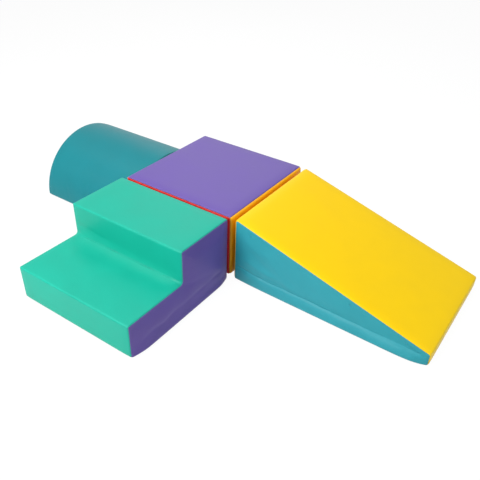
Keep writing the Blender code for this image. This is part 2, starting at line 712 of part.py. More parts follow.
def build_half_round():
    """Half a cylinder lying on its flat, as a roll to climb over."""
    corners = [base_corner(-HALF_ROUND_RADIUS, HALF_ROUND_BASE_RADIUS)]
    corners.append(base_corner(HALF_ROUND_RADIUS, HALF_ROUND_BASE_RADIUS))
    for step in range(1, HALF_ROUND_ARC_STEPS):
        angle = math.pi * step / HALF_ROUND_ARC_STEPS
        corners.append(Corner(HALF_ROUND_RADIUS * math.cos(angle), HALF_ROUND_HEIGHT * math.sin(angle)))
    gap = meeting_gap(PLATFORM_HALF_ROUND_SIDE_CROWN, HALF_ROUND_INNER_END_CROWN)
    place = quarter_turned(-PLATFORM_LENGTH / 2 - gap - HALF_ROUND_LENGTH / 2, 0)
    block = Block("half_round", corners, HALF_ROUND_LENGTH, HALF_ROUND_BASE_RADIUS, PANEL_MARGIN, place)
    foam_core(
        block,
        [(0, 1, 0), (1, 0, HALF_ROUND_ARC_CROWN)],
        [(-1, HALF_ROUND_OUTER_END_CROWN), (1, HALF_ROUND_INNER_END_CROWN)],
    )
    wrap_panel(block, "half_round_base_cover", 0, 1, 0, BASE_CLOTH)
    wrap_panel(block, "half_round_arc_cover", 1, 0, HALF_ROUND_ARC_CROWN, TEAL_CLOTH)
    side_panel(block, "half_round_inner_end_cover", 1, HALF_ROUND_INNER_END_CROWN, TEAL_CLOTH)
    outer = side_panel(block, "half_round_outer_end_cover", -1, HALF_ROUND_OUTER_END_CROWN, TEAL_CLOTH)
    add_zip(block, outer, -1, HALF_ROUND_OUTER_END_CROWN, 0, HALF_ROUND_ZIP_LENGTH)
    strip_place = (0, block.half_width + HALF_ROUND_INNER_END_CROWN, STRIP_MIDDLE_HEIGHT)
    fastening_strip(block, "half_round_hook_strip", strip_place, (0, 1, 0), HOOK_THICKNESS)


def build():
    """Clears the scene and makes the four blocks."""
    for old in list(bpy.data.objects):
        bpy.data.objects.remove(old)
    build_platform()
    build_stairs()
    build_ramp()
    build_half_round()


build()
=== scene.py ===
"""Looks of the soft play foam climber: four foam blocks in sewn leathercloth covers on a pale floor.

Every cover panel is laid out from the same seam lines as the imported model, swells in a cloth
simulation, and then gets its thickness. Zips, fastening strips and the non-slip bases follow.
Lengths are in metres, +Z is up, and the origin is the middle of the platform's underside.
"""

import sys

import logging
import math
from collections.abc import Iterable
from dataclasses import dataclass, field
from enum import Enum
from typing import Any

import bmesh
import bpy
import numpy as np
from mathutils import Matrix, Vector
from mathutils.geometry import delaunay_2d_cdt


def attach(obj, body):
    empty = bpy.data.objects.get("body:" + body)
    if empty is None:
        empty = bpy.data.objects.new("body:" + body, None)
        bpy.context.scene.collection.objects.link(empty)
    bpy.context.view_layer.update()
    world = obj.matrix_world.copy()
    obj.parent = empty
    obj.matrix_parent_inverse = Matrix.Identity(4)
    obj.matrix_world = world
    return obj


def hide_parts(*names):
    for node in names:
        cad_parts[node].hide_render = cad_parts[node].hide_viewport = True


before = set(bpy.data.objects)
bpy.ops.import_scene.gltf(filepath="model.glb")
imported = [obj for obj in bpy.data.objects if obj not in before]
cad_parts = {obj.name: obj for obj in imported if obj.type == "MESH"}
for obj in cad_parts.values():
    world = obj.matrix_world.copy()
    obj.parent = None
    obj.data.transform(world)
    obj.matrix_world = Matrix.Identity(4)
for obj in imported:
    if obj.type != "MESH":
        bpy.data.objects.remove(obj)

Array = np.ndarray
Colour = tuple[float, float, float, float]
Faces = list[tuple[int, ...]]
Shape = tuple[Array, Faces]
Socket = bpy.types.NodeSocket

MM = 0.001
SEAT_GAP = 0.3 * MM
CLOTH_THICKNESS = 1.2 * MM
HELD_EDGE = 7 * MM
log = logging.getLogger("soft_play_climber")


# Small helpers


def linear_from_hex(code: str) -> Colour:
    """Turns an sRGB hex colour into linear light.

    Args:
        code: Six hex digits.

    Returns:
        Linear red, green and blue, and an alpha of one.
    """
    channels = [int(code[start:start + 2], 16) / 255 for start in (0, 2, 4)]
    linear = [value / 12.92 if value <= 0.04045 else ((value + 0.055) / 1.055) ** 2.4 for value in channels]
    return (*linear, 1.0)


def toned(colour: Colour, share: float) -> Colour:
    """A linear colour with each channel times this share, up to one."""
    return (*(min(channel * share, 1.0) for channel in colour[:3]), 1.0)


def feed(tree: bpy.types.NodeTree, node: bpy.types.Node, inputs: dict[Any, Any]) -> None:
    """Sets some of a node's inputs.

    Args:
        tree: The node tree that it is in.
        node: The node.
        inputs: What each input takes, by name or number: a value, or the output to link.
    """
    for socket, value in inputs.items():
        if isinstance(value, Socket):
            tree.links.new(value, node.inputs[socket])
        else:
            node.inputs[socket].default_value = value


def add_node(tree: bpy.types.NodeTree, kind: str, inputs: dict[Any, Any], **settings: Any) -> bpy.types.Node:
    """Adds one node to a material or world.

    Args:
        tree: The node tree that it goes into.
        kind: Blender's name for the kind of node.
        inputs: What its inputs take, as for feed.
        **settings: The node's own properties.

    Returns:
        The new node.
    """
    node = tree.nodes.new(kind)
    for name, value in settings.items():
        setattr(node, name, value)
    feed(tree, node, inputs)
    return node


def rise(share: Array) -> Array:
    """Share of the full crown at this share of a rolled margin, from nought at the seam to one."""
    return 1 - (1 - np.clip(share, 0, 1)) ** 2


def smooth_step(low: float, high: float, value: Array | float) -> Array:
    """A soft switch, from nought below low to one above high."""
    share = np.clip((value - low) / (high - low), 0, 1)
    return share * share * (3 - 2 * share)


def unit(way: Array) -> Array:
    """A vector's direction, as a vector one long."""
    return way / np.linalg.norm(way)


def left_of(way: Array) -> Array:
    """A direction of the side view turned a quarter to the left, which leads from an edge into the block."""
    return np.array([-way[1], way[0]])


def cross_of(first: Array, second: Array) -> float:
    """The sine of the turn from one way of the side view to another, times their lengths."""
    return float(first[0] * second[1] - first[1] * second[0])


def carried(places: Array, matrix: Matrix) -> Array:
    """Places after a placement, one row each."""
    return places @ np.array(matrix.to_3x3()).T + np.array(matrix.translation)


def line_distance(points: Array, starts: Array, ways: Array) -> Array:
    """How far points are from the nearest of some straight stretches.

    Args:
        points: The points, one row each.
        starts: Where each stretch starts.
        ways: The way from there to its end.

    Returns:
        The distance of each point.
    """
    gap = points[:, None] - starts
    share = np.clip((gap * ways).sum(axis=2) / np.maximum((ways**2).sum(axis=1), 1e-12), 0, 1)
    return np.linalg.norm(starts + share[:, :, None] * ways - points[:, None], axis=2).min(axis=1)


def well_inside(points: Array, border: Array, clear: float) -> Array:
    """Which points lie inside a closed border and clear of it.

    Args:
        points: The points, one row each.
        border: The border's points in order.
        clear: The least distance to the border.

    Returns:
        True for each that does.
    """
    after = np.roll(border, -1, axis=0)
    ways = after - border
    level = points[:, 1:]
    crosses = (border[:, 1] > level) != (after[:, 1] > level)
    at = border[:, 0] + (level - border[:, 1]) / np.where(crosses, ways[:, 1], 1) * ways[:, 0]
    odd = np.count_nonzero(crosses & (at > points[:, :1]), axis=1) % 2 == 1
    return odd & (line_distance(points, border, ways) > clear)


def soft_waves(places: Array, wavelength: float, seed: int) -> Array:
    """Irregular waves through space, for puckers and wobbles.

    Args:
        places: Points, one row each.
        wavelength: The mean length of a wave.
        seed: Which waves to draw.

    Returns:
        One value for each point, mostly within one either side of nought.
    """
    draw = np.random.default_rng(seed)
    total = np.zeros(len(places))
    count = 7
    for _ in range(count):
        direction = unit(draw.normal(size=places.shape[1]))
        length = wavelength * draw.uniform(0.6, 1.7)
        total += np.sin(places @ direction * (2 * math.pi / length) + draw.uniform(0, 2 * math.pi))
    return total / math.sqrt(count)


def quads(rows: int, columns: int, closed: bool) -> Faces:
    """Faces between rows of points.

    Args:
        rows: How many rows there are.
        columns: How many points each row has.
        closed: Whether each row's end meets its start.

    Returns:
        The vertex numbers of each face.
    """
    return [
        (row * columns + at, row * columns + after, (row + 1) * columns + after, (row + 1) * columns + at)
        for row in range(rows - 1)
        for at in range(columns if closed else columns - 1)
        for after in [(at + 1) % columns]
    ]


def capped(rows: int, columns: int) -> Faces:
    """Faces round a stack of rings, with a cap on each end."""
    caps = [tuple(reversed(range(columns))), tuple(range((rows - 1) * columns, rows * columns))]
    return quads(rows, columns, closed=True) + caps


def joined(shapes: Iterable[Shape]) -> Shape:
    """Several shapes as one.

    Args:
        shapes: The points and faces of each.

    Returns:
        The points and faces of them all.
    """
    points, faces, total = [], [], 0
    for places, own in shapes:
        points.append(places)
        faces += [tuple(total + corner for corner in face) for face in own]
        total += len(places)
    return np.concatenate(points), faces


def repeated(shape: Shape, places: Array) -> Shape:
    """One shape at many places."""
    points, faces = shape
    return joined((points + place, faces) for place in places)


def make_mesh_object(name: str, places: Array, faces: Faces) -> bpy.types.Object:
    """Makes a shaded mesh object at the origin, with its place in its mesh.

    Args:
        name: The object's name.
        places: World coordinates, one row for each vertex.
        faces: Vertex numbers of each face.

    Returns:
        The linked object.
    """
    mesh = bpy.data.meshes.new(name)
    mesh.from_pydata(places.tolist(), [], faces)
    mesh.update()
    mesh.shade_smooth()
    made = bpy.data.objects.new(name, mesh)
    bpy.context.scene.collection.objects.link(made)
    return made


# Finishes


@dataclass(frozen=True)
class Brush:
    """A material's node tree and shader, and the nodes that several finishes use."""

    tree: bpy.types.NodeTree
    shader: bpy.types.Node

    def add(self, kind: str, inputs: dict[Any, Any], output: str | int, **settings: Any) -> Socket:
        """Adds a node, and gives one of its outputs."""
        return add_node(self.tree, kind, inputs, **settings).outputs[output]

    def where(self) -> Socket:
        """Places on the piece."""
        return self.add("ShaderNodeTexCoord", {}, "Object")

    def noise(self, size: float, detail: float = 2.0) -> Socket:
        """Cloudy patches of about this size."""
        inputs = {"Vector": self.where(), "Scale": 1 / size, "Detail": detail}
        return self.add("ShaderNodeTexNoise", inputs, "Fac")

    def cells(self, size: float, **settings: Any) -> Socket:
        """Distances from the middles of cells of this size."""
        inputs = {"Vector": self.where(), "Scale": 1 / size}
        return self.add("ShaderNodeTexVoronoi", inputs, "Distance", **settings)

    def yarns(self, pitch: float, way: str) -> Socket:
        """Rows of yarn this far apart."""
        inputs = {"Vector": self.where(), "Scale": math.pi / 10 / pitch}
        return self.add("ShaderNodeTexWave", inputs, "Fac", bands_direction=way)

    def ranged(self, value: Socket, low: float, high: float, start: float = 0.0, end: float = 1.0) -> Socket:
        """Carries values from start and end over to low and high."""
        inputs = {"Value": value, "From Min": start, "From Max": end, "To Min": low, "To Max": high}
        return self.add("ShaderNodeMapRange", inputs, "Result")

    def mixed(self, share: Socket, first: Socket | Colour, second: Socket | Colour) -> Socket:
        """The first colour where the share is nought, and the second where it is one."""
        return self.add("ShaderNodeMix", {0: share, 6: first, 7: second}, 2, data_type="RGBA")

    def raised(self, height: Socket, strength: float, depth: float, **under: Socket) -> Socket:
        """A normal with these heights on it."""
        inputs = {"Height": height, "Strength": strength, "Distance": depth}
        return self.add("ShaderNodeBump", inputs | under, 0)

    def give(self, inputs: dict[str, Any]) -> None:
        """Sets the shader's own inputs."""
        feed(self.tree, self.shader, inputs)


@dataclass(frozen=True)
class Finish:
    """A surface finish, which is made as a material once and then shared."""

    name: str
    slot: str

    def material(self) -> bpy.types.Material:
        """The finish's material.

        Returns:
            The one that every piece with this finish has.
        """
        made = bpy.data.materials.get(self.name)
        if not made:
            made = bpy.data.materials.new(self.name)
            made.use_nodes = True
            self.paint(Brush(made.node_tree, made.node_tree.nodes["Principled BSDF"]))
        return made

    def paint(self, brush: Brush) -> None:
        """Builds the finish's nodes with a brush."""
        raise NotImplementedError


@dataclass(frozen=True)
class Leathercloth(Finish):
    """PVC leathercloth: a knitted backing with a calendered, embossed vinyl face.

    The eye gets an even satin colour, a fine pebble grain, a slow drift in tone from the roller, a paler
    line along each seam, partly wear where the cloth is pulled tight over the edge and partly a painted
    highlight, and painted shade down in the seam.
    """

    colour: str = "808080"
    roughness: float = 0.42
    grain: float = 1.6 * MM
    mottle: float = 110 * MM
    drift: float = 0.05
    # Reach of the paler seam line, which is partly wear and partly a painted highlight
    stretched: tuple[float, float] = (1.5 * MM, 7 * MM)
    shaded: tuple[float, float] = (0.3 * MM, 1.6 * MM)

    def paint(self, brush: Brush) -> None:
        """Builds the drift in tone, the paler edge (wear and painted highlight), the seam's painted shade and
        the grain.

        Args:
            brush: The material's brush.
        """
        base = linear_from_hex(self.colour)
        paler = (*(channel + (1 - channel) * self.drift * 0.5 for channel in base[:3]), 1.0)
        tone = brush.noise(self.mottle, 3.0)
        reach = brush.add("ShaderNodeAttribute", {}, "Fac", attribute_name="seam_reach")
        drifting = brush.mixed(brush.ranged(tone, 0.0, 1.0, 0.3, 0.7), toned(base, 1 - self.drift), base)
        # Paler near the seam: partly wear where the cloth is pulled tight over the edge, partly a painted
        # highlight
        worn_and_highlit = brush.mixed(brush.ranged(reach, 0.55, 0.0, *self.stretched), drifting, paler)
        brush.give({
            # Painted shade: down in the seam's groove the colour darkens to 35 % of the cloth's own
            "Base Color": brush.mixed(brush.ranged(reach, 0.55, 0.0, *self.shaded), worn_and_highlit, toned(base, 0.35)),
            "Normal": brush.raised(brush.cells(self.grain, feature="SMOOTH_F1"), 0.12, 0.2 * MM),
            "Roughness": brush.ranged(tone, self.roughness - 0.05, self.roughness + 0.07),
            "IOR": 1.52,
            "Specular IOR Level": 0.21,
        })


@dataclass(frozen=True)
class WovenWeb(Finish):
    """Woven polyester web, dyed in the yarn, for zip tapes and fastening strips.

    The eye gets a matt dark web with a fine rib across and along. Its yarns are drawn twice as coarse as
    they are, or they would be too fine to see.
    """

    colour: str = "2E2E32"
    pitch: float = 1.3 * MM

    def paint(self, brush: Brush) -> None:
        """Builds the two sets of yarns.

        Args:
            brush: The material's brush.
        """
        base = linear_from_hex(self.colour)
        across, along = (brush.yarns(self.pitch, way) for way in ("DIAGONAL", "Z"))
        weave = brush.add("ShaderNodeMath", {0: across, 1: along}, 0, operation="MULTIPLY")
        brush.give({
            "Base Color": brush.mixed(weave, base, toned(base, 1.9)),
            "Normal": brush.raised(weave, 0.5, 0.25 * MM),
            "Roughness": 0.78,
            "Sheen Weight": 0.35,
        })


@dataclass(frozen=True)
class Extruded(Finish):
    """Nylon or polyester monofilament and thread, drawn smooth through a die.

    The eye gets small rounded glints on the zip's coil, the hooks, the loops and the stitches.
    """

    colour: str = "2B2B2F"
    roughness: float = 0.36
    patch: float = 9 * MM

    def paint(self, brush: Brush) -> None:
        """Sets the colour and gives the filament an uneven polish.

        Args:
            brush: The material's brush.
        """
        polish = brush.ranged(brush.noise(self.patch), self.roughness - 0.08, self.roughness + 0.1)
        brush.give({"Base Color": linear_from_hex(self.colour), "Roughness": polish, "IOR": 1.53})


@dataclass(frozen=True)
class PlatedZinc(Finish):
    """Die-cast zinc, tumbled and then nickel plated.

    The eye gets a warm grey metal with soft highlights, and faint marks from the tumbling.
    """

    colour: str = "C9C5BD"
    roughness: float = 0.27
    mark: float = 1.5 * MM

    def paint(self, brush: Brush) -> None:
        """Builds the tumbled polish.

        Args:
            brush: The material's brush.
        """
        marks = brush.noise(self.mark, 4.0)
        brush.give({
            "Base Color": linear_from_hex(self.colour),
            "Normal": brush.raised(marks, 0.12, 0.08 * MM),
            "Roughness": brush.ranged(marks, self.roughness - 0.09, self.roughness + 0.13),
            "Metallic": 1.0,
        })


@dataclass(frozen=True)
class DottedBase(Finish):
    """Non-slip base cloth: a woven polyester ground printed with raised vinyl dots.

    The eye gets a matt charcoal cloth with rows of small, slightly glossy dots set on the diagonal.
    """

    colour: str = "2C2C30"
    dot_colour: str = "151517"
    pitch: float = 6 * MM
    yarn: float = 1.6 * MM
    dot_edge: tuple[float, float] = (0.24, 0.31)

    def paint(self, brush: Brush) -> None:
        """Builds the weave and the dots.

        Args:
            brush: The material's brush.
        """
        diagonal = {"Vector": brush.where(), "Rotation": (0.0, 0.0, math.radians(45))}
        turned = brush.add("ShaderNodeMapping", diagonal, "Vector")
        grid = {"Vector": turned, "Scale": 1 / self.pitch, "Randomness": 0.0}
        middle = brush.add("ShaderNodeTexVoronoi", grid, "Distance", voronoi_dimensions="2D")
        dots = brush.ranged(middle, 1.0, 0.0, *self.dot_edge)
        weave = brush.raised(brush.yarns(self.yarn, "DIAGONAL"), 0.4, 0.2 * MM)
        brush.give({
            "Base Color": brush.mixed(dots, linear_from_hex(self.colour), linear_from_hex(self.dot_colour)),
            "Normal": brush.raised(dots, 0.9, 0.6 * MM, Normal=weave),
            "Roughness": brush.ranged(dots, 0.85, 0.42),
        })


@dataclass(frozen=True)
class OpenFoam(Finish):
    """Open-cell polyurethane foam, blown in a block and cut with an oscillating blade.

    The eye gets a matt cream surface full of small cells. They are drawn 3 mm wide, as the real ones of
    under a millimetre would be too fine to see.
    """

    colour: str = "E6DFC9"
    cell: float = 3 * MM

    def paint(self, brush: Brush) -> None:
        """Builds the cells.

        Args:
            brush: The material's brush.
        """
        base = linear_from_hex(self.colour)
        cells = brush.cells(self.cell)
        colour = brush.mixed(cells, toned(base, 0.6), base)
        brush.give({"Base Color": colour, "Normal": brush.raised(cells, 0.7, 1.2 * MM), "Roughness": 0.95})


PURPLE = Leathercloth("purple_leathercloth", "purple_cloth", "67529F")
MINT = Leathercloth("mint_leathercloth", "mint_cloth", "0EA78F")
YELLOW = Leathercloth("yellow_leathercloth", "yellow_cloth", "FCCC00", drift=0.025)
TEAL = Leathercloth("teal_leathercloth", "teal_cloth", "3199A5")
DEEP_TEAL = Leathercloth("deep_teal_leathercloth", "teal_cloth", "0B7982")
RED = Leathercloth("red_leathercloth", "red_cloth", "D8201C")
ORANGE = Leathercloth("orange_leathercloth", "orange_cloth", "FCB414")
BASE = DottedBase("dotted_non_slip_cloth", "base_cloth")
FOAM = OpenFoam("cut_polyurethane_foam", "foam")
ZIP_WEB = WovenWeb("woven_zip_tape", "zip_tape")
ZIP_COIL = Extruded("extruded_nylon_coil", "zip_tape", "45454B", 0.3)
ZIP_STOP = Extruded("moulded_zip_stop", "zip_tape", "1E1E21", 0.45)
THREAD = Extruded("spun_polyester_thread", "zip_tape", "5A5A60", 0.6)
ZINC = PlatedZinc("nickel_plated_zinc", "zip_metal")
STRIP_WEB = WovenWeb("woven_fastening_strip", "fastening_strip", "1F1F22")
STRIP_LOOPS = Extruded("brushed_nylon_loops", "fastening_strip", "29292D", 0.7)
STRIP_HOOKS = Extruded("cut_nylon_hooks", "fastening_strip", "26262A", 0.4)
STRIP_THREAD = Extruded("strip_sewing_thread", "fastening_strip", "3D3D42", 0.6)


def put_in_frame(piece: bpy.types.Object, finish: Finish, body: str, node: str) -> None:
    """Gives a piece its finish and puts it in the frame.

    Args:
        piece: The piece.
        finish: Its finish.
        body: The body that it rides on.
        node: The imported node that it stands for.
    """
    piece.data.materials.append(finish.material())
    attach(piece, body)
    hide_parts(node)
    log.info("%s: %d faces", piece.name, len(piece.data.polygons))


# Outlines


@dataclass(frozen=True)
class SeamRoll:
    """How a panel's cloth rolls over the foam's edge and dips into the seam."""

    radius: float = 6.5 * MM
    groove: float = 1.2 * MM
    lip: float = 0.8 * MM
    stations: tuple[float, ...] = tuple(
        value * MM for value in (0, 0.5, 1.1, 1.7, 2.6, 3.9, 5.4, 8.0, 12.0, 17.0, 24.0, 33.0)
    )

    def profile(self, turn: float, reach: Array) -> tuple[Array, Array]:
        """Where the cloth lies at these distances from the seam.

        Args:
            turn: How far the surface turns over the edge, in radians.
            reach: Distances from the seam along the cloth.

        Returns:
            The distance from the block's sharp edge along the face, and the depth under the face.
        """
        fine = np.linspace(0, self.groove + self.lip + self.radius * 2, 1200)
        wall = self.groove - self.lip
        lip_length = self.lip * math.pi / 2
        roll_length = self.radius * turn / 2
        heading = turn / 2 + math.pi / 2 - np.clip((fine - wall) / lip_length, 0, 1) * math.pi / 2
        heading -= np.clip((fine - wall - lip_length) / roll_length, 0, 1) * turn / 2
        step = fine[1] - fine[0]
        across, up = (
            np.concatenate([[0], np.cumsum(part(heading[:-1]) * step)]) for part in (np.cos, np.sin)
        )
        inward = np.interp(reach, fine, across) + np.maximum(reach - fine[-1], 0)
        return inward + up[-1] * math.tan(turn / 2), up[-1] - np.interp(reach, fine, up)


@dataclass(frozen=True)
class Corner:
    """A corner of a block's side view: sewn, rounded by an arc, or plain."""

    along: float
    up: float
    radius: float = 0.0
    steps: int = 0
    seam: bool = False


@dataclass
class Outline:
    """A block's side view, read at the same stations for every depth under the cloth's face."""

    corners: list[Corner]
    base_radius: float
    roll: SeamRoll
    spacing: float
    least_radius: float = 2 * MM
    roll_reach: float = 20 * MM

    def __post_init__(self) -> None:
        """Settles how many stations each edge has, and reads which way the cloth faces at each station."""
        arcs = self._corner_places(0, 0)
        edges = [(arc[-1], arcs[(index + 1) % len(arcs)][0]) for index, arc in enumerate(arcs)]
        self.edge_counts = [
            max(round(float(np.linalg.norm(end - start)) / self.spacing) - 1, 0) for start, end in edges
        ]
        self.places = self.ring(0, 0, 0)
        self.bent = np.zeros(len(self.places), dtype=bool)
        self.corner_stations = []
        way = np.roll(self.places, -1, axis=0) - np.roll(self.places, 1, axis=0)
        at = 0
        for index, (corner, arc, (start, end)) in enumerate(zip(self.corners, arcs, edges)):
            past = at + len(arc)
            after = past + len(self._edge_places(index, start, end, 0))
            self.corner_stations.append((at, past - 1))
            self.bent[at:past] = corner.radius > 0
            if corner.seam:
                way[at] = unit(arc[0] - arcs[index - 1][-1]) + unit(end - start)
            way[past:after] = end - start
            at = after
        way = way / np.linalg.norm(way, axis=1)[:, None]
        self.outward = np.stack([way[:, 1], -way[:, 0]], axis=1)

    def _edges(self, index: int) -> tuple[Array, Array, Array]:
        """A sharp corner's place, and the edges into it and out of it."""
        count = len(self.corners)
        before, here, after = (
            np.array([self.corners[at % count].along, self.corners[at % count].up])
            for at in (index - 1, index, index + 1)
        )
        return here, here - before, after - here

    def _turn(self, index: int) -> float:
        """How far the outline turns at a corner, in radians."""
        _, first, second = self._edges(index)
        return math.atan2(cross_of(first, second), float(first @ second))

    def _corner_places(self, wall: float, floor: float) -> list[Array]:
        """The points of every corner's arc at this depth.

        Args:
            wall: Depth under every face but the underside.
            floor: Height above the underside.

        Returns:
            One array of points for each corner.
        """
        insets = [floor] + [wall] * (len(self.corners) - 1)
        found = []
        for index, corner in enumerate(self.corners):
            here, *edges = self._edges(index)
            first, second = (unit(edge) for edge in edges)
            turn = cross_of(first, second)
            place = here + (insets[index - 1] * second - insets[index] * first) / turn
            if not corner.radius:
                found.append(place[None, :])
                continue
            angle = math.atan2(turn, float(first @ second))
            radius = max(corner.radius - math.copysign(wall, angle), self.least_radius)
            start = place - first * radius * math.tan(abs(angle) / 2)
            centre = start + left_of(first) * radius * math.copysign(1, angle)
            spoke = start - centre
            swings = angle * np.arange(corner.steps + 1) / corner.steps
            found.append(centre + np.outer(np.cos(swings), spoke) + np.outer(np.sin(swings), left_of(spoke)))
        return found

    def _roll_stations(self, index: int) -> Array:
        """Distance and depth of the stations beside a corner, without the seam itself.

        Args:
            index: The corner's number.

        Returns:
            One row for each station, none beside a corner that isn't sewn.
        """
        if not self.corners[index].seam:
            return np.zeros((0, 2))
        reach = np.array([value for value in self.roll.stations if 0 < value < self.roll_reach])
        return np.stack(self.roll.profile(self._turn(index), reach), axis=1)

    def _edge_places(self, index: int, start: Array, end: Array, even: float) -> Array:
        """The stations between two corners.

        Args:
            index: The edge's number.
            start: Where it starts.
            end: Where it ends.
            even: One where the stations are evenly spread, nought where they crowd at the seams.

        Returns:
            The points, which dip at a sewn corner where they crowd.
        """
        length = float(np.linalg.norm(end - start))
        way = unit(end - start)
        near = self._roll_stations(index)
        far = self._roll_stations((index + 1) % len(self.corners))[::-1]
        first = near[-1, 0] if len(near) else 0.0
        last = length - (far[0, 0] if len(far) else 0.0)
        count = self.edge_counts[index]
        middle = first + (last - first) * np.arange(1, count + 1) / (count + 1)
        crowded = np.concatenate([near[:, 0], middle, length - far[:, 0]])
        spread = length * np.arange(1, len(crowded) + 1) / (len(crowded) + 1)
        reach = crowded * (1 - even) + spread * even
        depth = np.concatenate([near[:, 1], np.zeros(count), far[:, 1]]) * (1 - even)
        return start + np.outer(reach, way) + np.outer(depth, left_of(way))

    def ring(self, wall: float, floor: float, even: float) -> Array:
        """Every station at this depth, in order.

        Args:
            wall: Depth under every face but the underside.
            floor: Height above the underside.
            even: One where the stations are evenly spread, nought where they crowd at the seams.

        Returns:
            One row for each station: along and up.
        """
        arcs = self._corner_places(wall, floor)
        points: list[Array] = []
        for index, arc in enumerate(arcs):
            after = arcs[(index + 1) % len(arcs)][0]
            edge = self._edge_places(index, arc[-1], after, even)
            if self.corners[index].seam:
                dip, depth = (values[0] for values in self.roll.profile(self._turn(index), np.zeros(1)))
                way = unit(after - arc[0])
                arc = arc + (way * dip + left_of(way) * depth) * (1 - even)
            points += [arc, edge]
        return np.concatenate(points)


@dataclass
class RoundOutline(Outline):
    """The half round's side view: a flat underside, two tucked corners and an even arc over them."""

    def _corner_places(self, wall: float, floor: float) -> list[Array]:
        """The two base corners and the arc at this depth.

        Args:
            wall: Depth under every face but the underside.
            floor: Height above the underside.

        Returns:
            One array of points for each corner, the arc being the last.
        """
        half, height = -self.corners[0].along - wall, self.corners[2].up - wall
        radius = max(self.base_radius - wall, self.least_radius)
        level = (floor + radius) / height
        centre = half * math.sqrt(1 - level**2) - radius
        lean = math.atan2(level / height, math.sqrt(1 - level**2) / half)
        swings = np.linspace(-math.pi / 2, lean, self.corners[0].steps + 1)
        right = np.stack([centre + radius * np.cos(swings), floor + radius + radius * np.sin(swings)], axis=1)
        start = math.asin((floor + radius + radius * math.sin(lean)) / height)
        angles = np.linspace(start, math.pi - start, self.corners[2].steps + 3)[1:-1]
        arc = np.stack([half * np.cos(angles), height * np.sin(angles)], axis=1)
        return [right[::-1] * np.array([-1, 1]), right, arc]


# Cover panels


class Fullness(Enum):
    """How a panel's cloth leaves its seams: rolled up at once, or sagging in slowly."""

    ROLLED = "rolled"
    SAGGING = "sagging"

    def profile(self, share: Array) -> Array:
        """Share of the full crown that is reached at this share of the margin."""
        return rise(share) if self is Fullness.ROLLED else smooth_step(0, 1, share)


@dataclass(frozen=True)
class Swell:
    """How far a panel swells, and how it gets there from its seams and from the floor."""

    crown: float
    margin: float = 45 * MM
    floor_margin: float = 22 * MM
    fullness: Fullness = Fullness.ROLLED
    top_margin: float | None = None

    def lift(self, up: Array, *reaches: Array, top: Array | float = math.inf) -> Array:
        """The panel's full swelling.

        Args:
            up: Heights above the floor.
            *reaches: Distances from its seams.
            top: Distance from its top seam, where it has a margin of its own there.

        Returns:
            How far the cloth stands out from the seams' plane at each point.
        """
        total = self.crown * rise(up / self.floor_margin)
        for reach in reaches:
            total = total * self.fullness.profile(reach / self.margin)
        return total if self.top_margin is None else total * self.fullness.profile(top / self.top_margin)


@dataclass(frozen=True)
class Seat:
    """A place where something flat is sewn on, so the cloth lies at its full crown there."""

    centre: tuple[float, float, float]
    half: tuple[float, float, float]
    blend: float = 18 * MM

    def hold(self, places: Array) -> Array:
        """How firmly the cloth is held: one inside the seat, nought well outside it."""
        outside = np.maximum(np.abs(places - np.array(self.centre)) - np.array(self.half), 0)
        return 1 - smooth_step(0, self.blend, np.linalg.norm(outside, axis=1))


@dataclass(frozen=True)
class Fold:
    """A soft ridge or valley along a line in a panel. Its places and sizes are in millimetres."""

    start: tuple[float, float, float]
    end: tuple[float, float, float]
    width: float
    height: float
    wobble: float = 0.0
    seed: int = 1
    uneven: float = 0.35
    wave: float = 150.0

    def _line(self) -> tuple[Array, Array, float]:
        """Where the fold starts, its direction and its length, in metres."""
        start, end = np.array(self.start) * MM, np.array(self.end) * MM
        return start, unit(end - start), float(np.linalg.norm(end - start))

    def rows(self, spacing: float) -> Array:
        """Points of the side view that draw a narrow fold sharply.

        Args:
            spacing: The distance between the panel's own points.

        Returns:
            Rows of along and up on both sides of its line; none where the fold is wider than the spacing.
        """
        if self.width * MM >= spacing:
            return np.zeros((0, 2))
        start, way, length = self._line()
        steps = np.outer(np.arange(0, length, spacing * 0.75), way[[0, 2]])
        aside = left_of(way[[0, 2]]) * self.width * MM
        return np.concatenate([start[[0, 2]] + steps + aside * share for share in (-1.4, -0.7, 0, 0.7, 1.4)])

    def lift(self, places: Array, outward: Array) -> Array:
        """How far the fold lifts each point.

        Args:
            places: Points in the block's own frame.
            outward: Which way the cloth faces at each.

        Returns:
            The lift in metres, outwards.
        """
        start, way, length = self._line()
        width, wave = self.width * MM, self.wave * MM
        travelled = (places - start) @ way
        aside = places - start - np.outer(travelled, way)
        sway = soft_waves(travelled[:, None], wave, self.seed) * self.wobble * MM
        level = (aside * np.cross(way, outward)).sum(axis=1) - sway
        spread = np.hypot(level, (aside * outward).sum(axis=1) * 0.5)
        ends = smooth_step(-width, width * 2, travelled)
        ends = ends * (1 - smooth_step(length - width * 2, length + width, travelled))
        swell = 1 + self.uneven * soft_waves(travelled[:, None], wave * 0.8, self.seed + 7)
        return self.height * MM * swell * ends * np.exp(-((spread / width) ** 2))


